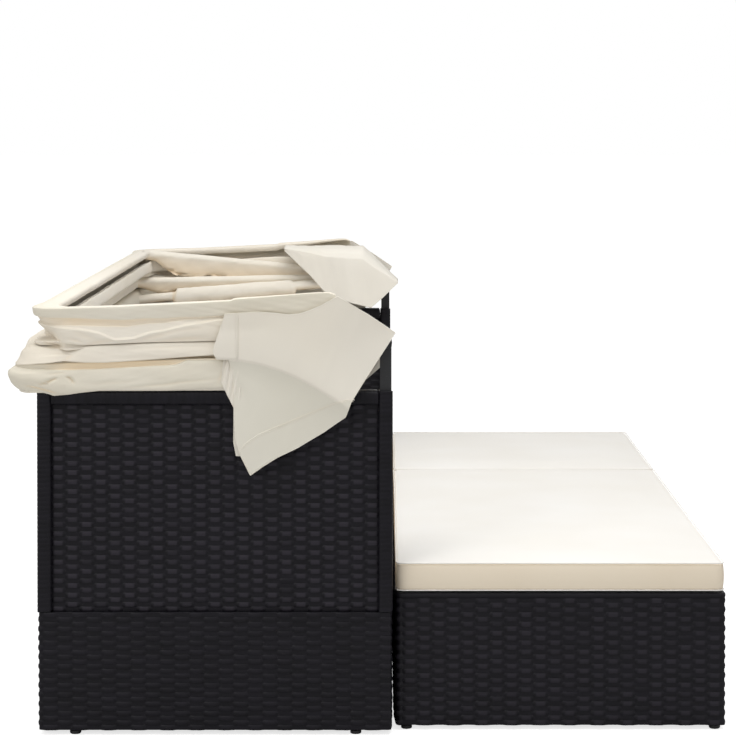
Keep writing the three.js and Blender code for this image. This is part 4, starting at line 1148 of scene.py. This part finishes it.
for name, (bar_x, bar_rise, leg_y) in BARS.items():
    start = np.array([SOFA_BACK + bar_x * MM, ARM_TOP + bar_rise * MM])
    length = np.linalg.norm(PIVOT - start)
    toward = (PIVOT - start) / length
    leg = [
        (BOW_BEND * (1 - math.sin(turn)), leg_y - BOW_BEND * (1 - math.cos(turn)))
        for turn in np.linspace(0.42 * math.pi, 0, 12)
    ]
    leg += [(reach, leg_y) for reach in np.linspace(BOW_BEND + 0.005, length - KNUCKLE_REACH, 110)]
    leg = np.array(leg)
    flat = start + toward * leg[:, :1]
    parts, tones = [], []
    for sign in (-1, 1):
        line = np.stack([flat[:, 0], sign * leg[:, 1], flat[:, 1]], axis=1)
        wide = np.full(len(line), SLEEVE_WIDE)
        tall = np.full(len(line), SLEEVE_TALL)
        at = (line[:, 0] - SOFA_BACK) / MM
        droop = ease((at - bar_x - 20) / 60) * ease((600 - at) / 260)
        hang = tall + SLEEVE_HANG[name] * droop
        if name == "rear":
            # The rear leg's sleeve is rolled up thicker between the corner and its seam
            thick = ease((at - 96) / 4) * ease((418 - at) / 5)
            wide = wide + 0.0035 * thick
            tall = tall + (0.0125 - 0.004 * np.clip(at / 400, 0, 1)) * thick
            line[:, 2] -= 0.003 * thick
            hang = tall
        points, faces, tone = sleeve(line, wide, tall, hang, 60 + bar_x)
        if name == "rear":
            # Painted shade at the rolled part's end near the corner
            tone += 0.5 * (ease((106 - at) / 10) * ease((at - 92) / 4))[:, None]
        parts.append((points, faces))
        tones.append(np.clip(tone, 0, 1).ravel())
    cover = new_piece(f"{name}_bow_sleeve", *joined(parts), CANVAS)
    set_painted_light(cover, np.concatenate(tones))
    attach(cover, f"{name}_bow")
    flat = (1.3, SLEEVE_ROUND[name])


# Side flaps

FLAP_FACE = HALF_LENGTH + 0.0075
FLAP_TOP = [
    (355.7, 146.3), (416, 149.6), (450, 147.6), (474, 144.6), (494, 146.2), (514, 152.5),
    (535, 161.5), (566.1, 179),
]
FLAP_BOTTOM = [
    (402.9, -156), (427, -139), (453, -123), (491, -105), (540, -76), (581.4, -46.2),
    (591.6, -18), (606.6, 6), (674.6, 110.5),
]
FLAP_LEFT = [
    (355.7, 146.3), (344.5, 112), (333, 76.5), (340, 62), (363.2, 61.4), (370.2, 30),
    (370.8, 1), (373, -60), (376, -93.3), (385, -120), (402.9, -156),
]
FLAP_RIGHT = [(566.1, 179), (622, 146), (674.6, 110.5)]
FLAP_HEM = [
    (384, -112), (391.6, -98.1), (418, -79.3), (446.3, -67.9), (487.8, -50.9), (536.8, -30.2),
    (567, -17), (586, -12.5), (602, -13.2),
]
SEAM_X = 378.3
STITCH_OFF = 3  # beside the seam and below the hem's sewn line
STITCH_LIFT = 0.5
CLOTH_THICK = 0.0009


def flap_places(us, vs):
    """Places on the flap between its four edges: in front of the back and above the arm."""
    top, bottom = even(FLAP_TOP, us), even(FLAP_BOTTOM, us)
    left, right = even(FLAP_LEFT, vs), even(FLAP_RIGHT, vs)
    u, v = us[:, None, None], vs[None, :, None]
    edges = (1 - v) * top[:, None] + v * bottom[:, None] + (1 - u) * left + u * right
    corners = (1 - u) * ((1 - v) * top[0] + v * bottom[0])
    corners = corners + u * ((1 - v) * top[-1] + v * bottom[-1])
    return edges - corners


def above_hem(x, z):
    """Distance above the hem's sewn line, in millimetres, less below it."""
    return 0.9 * (z - np.interp(x, *zip(*FLAP_HEM)))


def ridge(x):
    """Rise of the flap's long fold."""
    return 62 - 0.1 * (x - 380) - 0.00165 * (x - 380) ** 2


def flap_reach(x, z):
    """How far the flap stands out from the folds, in millimetres."""
    off = z - ridge(x)
    along = np.clip((x - 380) / 200, 0, 1)
    above = np.exp(-((np.maximum(off, 0) / 80) ** 1.5))
    below = np.exp(-((np.maximum(-off, 0) / (9 + 22 * along)) ** 1.1))
    out = 2.0 + (6 + 11 * along) * np.where(off > 0, above, below)
    # Small folds fan out below the cuff, over a slow wave
    fan = np.exp(-(((x - 385) / 45) ** 2)) * ease((45 - z) / 40) * ease((z + 60) / 60)
    out += 0.7 * fan * np.sin(np.arctan2(z - 66, x - 346) * 13)
    lower = ease((20 - z) / 120)
    out += lower * (1.0 + 3.4 * np.sin((x - 350) * 0.022 + 0.6))
    # A soft fold runs across, with a hollow and a wave above it
    fold = 24 + 62 * (x - 380) / 200 - 0.32 * (x - 380)
    out += 1.6 * along * np.exp(-(((z - fold + 40) / 26) ** 2))
    out -= 1.5 * np.exp(-(((z - 118 - 0.05 * (x - 380)) / 14) ** 2)) * ease((470 - x) / 90)
    out += 1.2 * np.sin((x - 0.8 * z) * 0.028 + 1.0) * ease((z - 70) / 60) * along
    # The cuff's seam, the hem's sewn line, and the far corner, which lies closer
    cuff = 1 - ease((x - SEAM_X + 0.5) / 2)
    out += 2.4 * cuff * ease((z - 58) / 8)
    hem = above_hem(x, z)
    out += 0.8 * (1 - ease(hem / 1.6)) - 0.7 * np.exp(-((hem / 1.6) ** 2))
    corner = ease((x - 590) / 85) * ease((z - 30) / 80)
    out -= 6.5 * corner
    return out + 0.35 * Ripple(71, 90, 22)(x, z) + 0.8 * Ripple(72, 240, 90)(x, z * 0.8)


def outside_arm(places, out, sign):
    """Points in metres from places on the arm's side and how far out they are, in millimetres."""
    x, z = places[..., 0], places[..., 1]
    y = sign * (FLAP_FACE + out * MM)
    return np.stack([SOFA_BACK + x * MM, y, ARM_TOP + z * MM], axis=-1)


def flap_points(places, sign, lift=0.0):
    """Points on the flap, lifted off it in millimetres."""
    return outside_arm(places, flap_reach(places[..., 0], places[..., 1]) + lift, sign)


def facing(faces, sign):
    """The faces of a sheet on the right, with sign -1, or turned over for the left."""
    return faces if sign < 0 else faces[:, ::-1]


def thicken(sheet):
    """Gives a sheet the cloth's thickness."""
    modifier = sheet.modifiers.new("thickness", "SOLIDIFY")
    modifier.thickness, modifier.offset = CLOTH_THICK, 0


def dashes(line, out, length=0.0034, gap=0.0012, radius=0.00035, sides=5):
    """Stitches: short threads along a line of points, standing out along one direction."""
    steps = run(line)
    parts = []
    for i in range(int(steps[-1] / (length + gap))):
        at = np.linspace(0, 1, 5) * length + i * (length + gap)
        thread = np.stack([np.interp(at, steps, line[:, k]) for k in range(3)], axis=1)
        thread += np.array(out) * (np.sin(np.linspace(0, math.pi, 5)) * radius)[:, None]
        parts.append(tube_along(thread, radius, sides, closed=False))
    return joined(parts)


GATHER_LEFT = [(352, 62), (350, 40), (348, 17), (358, -4), (371, -30), (370.5, -95), (375.5, -121)]
GATHER_RIGHT = [(384, 62), (384, 17), (386, -30), (390, -95), (390, -121)]


def gathers(sign):
    """Pleats that show beside the flap's left edge, and the hem of the layer behind it."""
    us, vs = np.linspace(0, 1, 50), np.linspace(0, 1, 120)
    left, right = even(GATHER_LEFT, vs), even(GATHER_RIGHT, vs)
    places = left[None] + us[:, None, None] * (right - left)[None]
    x, z = places[..., 0], places[..., 1]
    fan = ease((z + 45) / 50)
    out = 0.4 + fan * (1.1 + 1.3 * np.sin((x - 340 - 0.16 * (z - 60)) * 0.62))
    out -= 2.2 * ease((z - 44) / 18)
    return outside_arm(places, out, sign), facing(grid_faces(len(us), len(vs)), sign)


INNER_START = 390
INNER_END = {"right": 664, "left": 690}  # the photograph shows the left one reach further
INNER_TOP = {
    "left": [(INNER_START, 167), (597, 167), (639, 128), (656, 112), (690, 78)],
    "right": [(INNER_START, 152), (560, 146), (600, 118), (664, 84)],
}
INNER_LOW = [(INNER_START, 158), (459, 92), (499, 46), (560, 22), (619, 7), (650, 34), (690, 73)]
# How far the cloth reaches inward and down, as shares of its way from the bow to the low edge
INNER_SHARES = [
    (0, 0, 0), (0.12, 0.4, 0.01), (0.24, 0.75, 0.05), (0.32, 0.92, 0.12), (0.4, 1, 0.2), (1, 1, 1),
]

for side_name, sign in (("right", -1), ("left", 1)):
    us, vs = np.linspace(0, 1, 150), np.linspace(0, 1, 140)
    places = flap_places(us, vs)
    grid = facing(grid_faces(len(us), len(vs)), sign)
    points, faces = joined([(flap_points(places, sign), grid), gathers(sign)])
    flap = new_piece(f"{side_name}_flap_cloth", points, faces, CANVAS)
    thicken(flap)
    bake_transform(flap)
    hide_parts(f"{side_name}_flap")

    # Below its long fold and below its hem's sewn line the flap takes the darker copy of the cloth,
    # as painted shade
    flap.data.materials.append(SHADED_CANVAS)
    x, z = places[..., 0], places[..., 1]
    shaded_faces = ((above_hem(x, z) < 0) | (z < ridge(x) - 3)).ravel()
    index = np.zeros(len(faces), np.int32)
    index[: len(grid)] = shaded_faces[grid].all(axis=1)
    flap.data.polygons.foreach_set("material_index", index)

    # Rolled edges, and stitches along the seam and the hem
    edge = np.concatenate(
        [places[:, 0], places[-1, 1:], places[-2::-1, -1], places[0, -2:0:-1]]
    )
    hem_line = even(FLAP_HEM, np.linspace(0.02, 0.985, 90))
    rises = np.linspace(142, 66, 40)
    stitched = [hem_line - (0, STITCH_OFF)]
    stitched += [
        np.stack([np.full(len(rises), SEAM_X + off), rises], 1) for off in (-STITCH_OFF, STITCH_OFF)
    ]
    parts = [tube_along(flap_points(edge, sign), 0.0009)]
    parts.append(tube_along(flap_points(hem_line, sign, STITCH_LIFT), 0.0008, closed=False))
    parts += [dashes(flap_points(line, sign, STITCH_LIFT), (0, sign, 0)) for line in stitched]
    sewing = new_piece(f"{side_name}_flap_sewing", *joined(parts), THREAD)
    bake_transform(sewing)

    # The hem's loose end inside the arm, over the legs and the pivot
    us, vs = np.linspace(0, 1, 90), np.linspace(0, 1, 80)
    x = INNER_START + (INNER_END[side_name] - INNER_START) * us[:, None] + 0 * vs
    top = np.interp(x, *zip(*INNER_TOP[side_name]))
    low = np.interp(x, *zip(*INNER_LOW))
    way, inward, drop = zip(*INNER_SHARES)
    inward, drop = np.interp(vs, way, inward), np.interp(vs, way, drop)
    bow_leg, inner_side = np.interp(x, (597, 690), (922.7, 906)), 831
    soft = 2.2 * Ripple(81, 160, 60)(x, vs * 60) + 0.6 * Ripple(82, 60, 22)(x, vs * 50)
    hang = ease((vs - 0.25) / 0.3)
    y = bow_leg + (inner_side - bow_leg) * inward - (2 + soft) * hang
    z = top + (low - top) * drop + 1.5 + (1 - hang) * soft * 0.8
    points = np.stack([SOFA_BACK + x * MM, sign * y * MM, ARM_TOP + z * MM], axis=-1)
    faces = facing(grid_faces(len(us), len(vs)), sign)
    inner_flap = new_piece(f"{side_name}_inner_cloth", points, faces, CANVAS)
    thicken(inner_flap)
    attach(inner_flap, "front_bow")
    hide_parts(f"{side_name}_inner_flap")


# Camera at the photograph's place

IMAGE = 736
FOCAL = 2336.5  # in pixels, as are the places of the view's centre below
CENTRE = (384.4, 154.5)
camera_data = bpy.data.cameras.new("camera")
camera_data.sensor_width = 36
camera_data.lens = camera_data.sensor_width * FOCAL / IMAGE
camera_data.shift_x = 0.5 - CENTRE[0] / IMAGE
camera_data.shift_y = CENTRE[1] / IMAGE - 0.5
camera = bpy.data.objects.new("camera", camera_data)
camera.location = (0.0286, -5.332, 1.1715)
camera.rotation_euler = (math.radians(89), 0, 0)
bpy.context.scene.collection.objects.link(camera)
bpy.context.scene.camera = camera

# Floor, light and background
floor = new_piece(
    "floor",
    [(-30, -12, 0), (30, -12, 0), (30, 60, 0), (-30, 60, 0)],
    [[0, 1, 2, 3]],
    bpy.data.materials.new("floor"),
    smooth=False,
)
paint = floor.data.materials[0]
paint.use_nodes = True
tree = paint.node_tree
tree.nodes.clear()
rays = add_node(tree, "LightPath").outputs
strength = add_node(tree, "Math", {0: rays["Is Camera Ray"], 1: 0.75}, operation="MULTIPLY")
diffuse = add_node(tree, "BsdfDiffuse", {"Color": (0.8, 0.8, 0.8, 1)})
glow = add_node(tree, "Emission", {"Strength": strength.outputs[0]})
added = add_node(tree, "AddShader", {0: diffuse.outputs[0], 1: glow.outputs[0]})
add_node(tree, "OutputMaterial", {0: added.outputs[0]})

world = bpy.data.worlds.new("studio")
bpy.context.scene.world = world
world.use_nodes = True
tree = world.node_tree
background = tree.nodes["Background"]
rays = add_node(tree, "LightPath").outputs
seen = rays["Is Camera Ray"]
for name in ("Is Glossy Ray", "Is Transmission Ray"):
    seen = add_node(tree, "Math", {0: seen, 1: rays[name]}, operation="MAXIMUM").outputs[0]
level = add_node(tree, "MapRange", {"Value": seen, "To Min": 0.4, "To Max": 1.0})
colours = {6: (1, 0.99, 0.97, 1), 7: (1, 1, 1, 1)}
tint = add_node(tree, "Mix", {"Factor": seen, **colours}, data_type="RGBA")
tree.links.new(level.outputs[0], background.inputs["Strength"])
tree.links.new(tint.outputs[2], background.inputs["Color"])


def lamp(name, place, target, size, power, tint):
    """A rectangular light at a place, aimed at a target."""
    data = bpy.data.lights.new(name, "AREA")
    data.shape, data.size, data.size_y = "RECTANGLE", size[0], size[1]
    data.energy, data.color = power, tint
    made = bpy.data.objects.new(name, data)
    made.location = place
    direction = Vector(target) - Vector(place)
    made.rotation_euler = direction.to_track_quat("-Z", "Y").to_euler()
    bpy.context.scene.collection.objects.link(made)


lamp("top_light", (0.1, -1.05, 3.5), (0.1, -0.3, 0.4), (3.4, 3.0), 90, (0.98, 0.99, 1))
lamp("front_light", (-2.6, -4.2, 2.6), (0, -0.5, 0.5), (1.6, 1.6), 31, (1, 0.99, 0.97))
bpy.context.scene.view_settings.view_transform = "Standard"
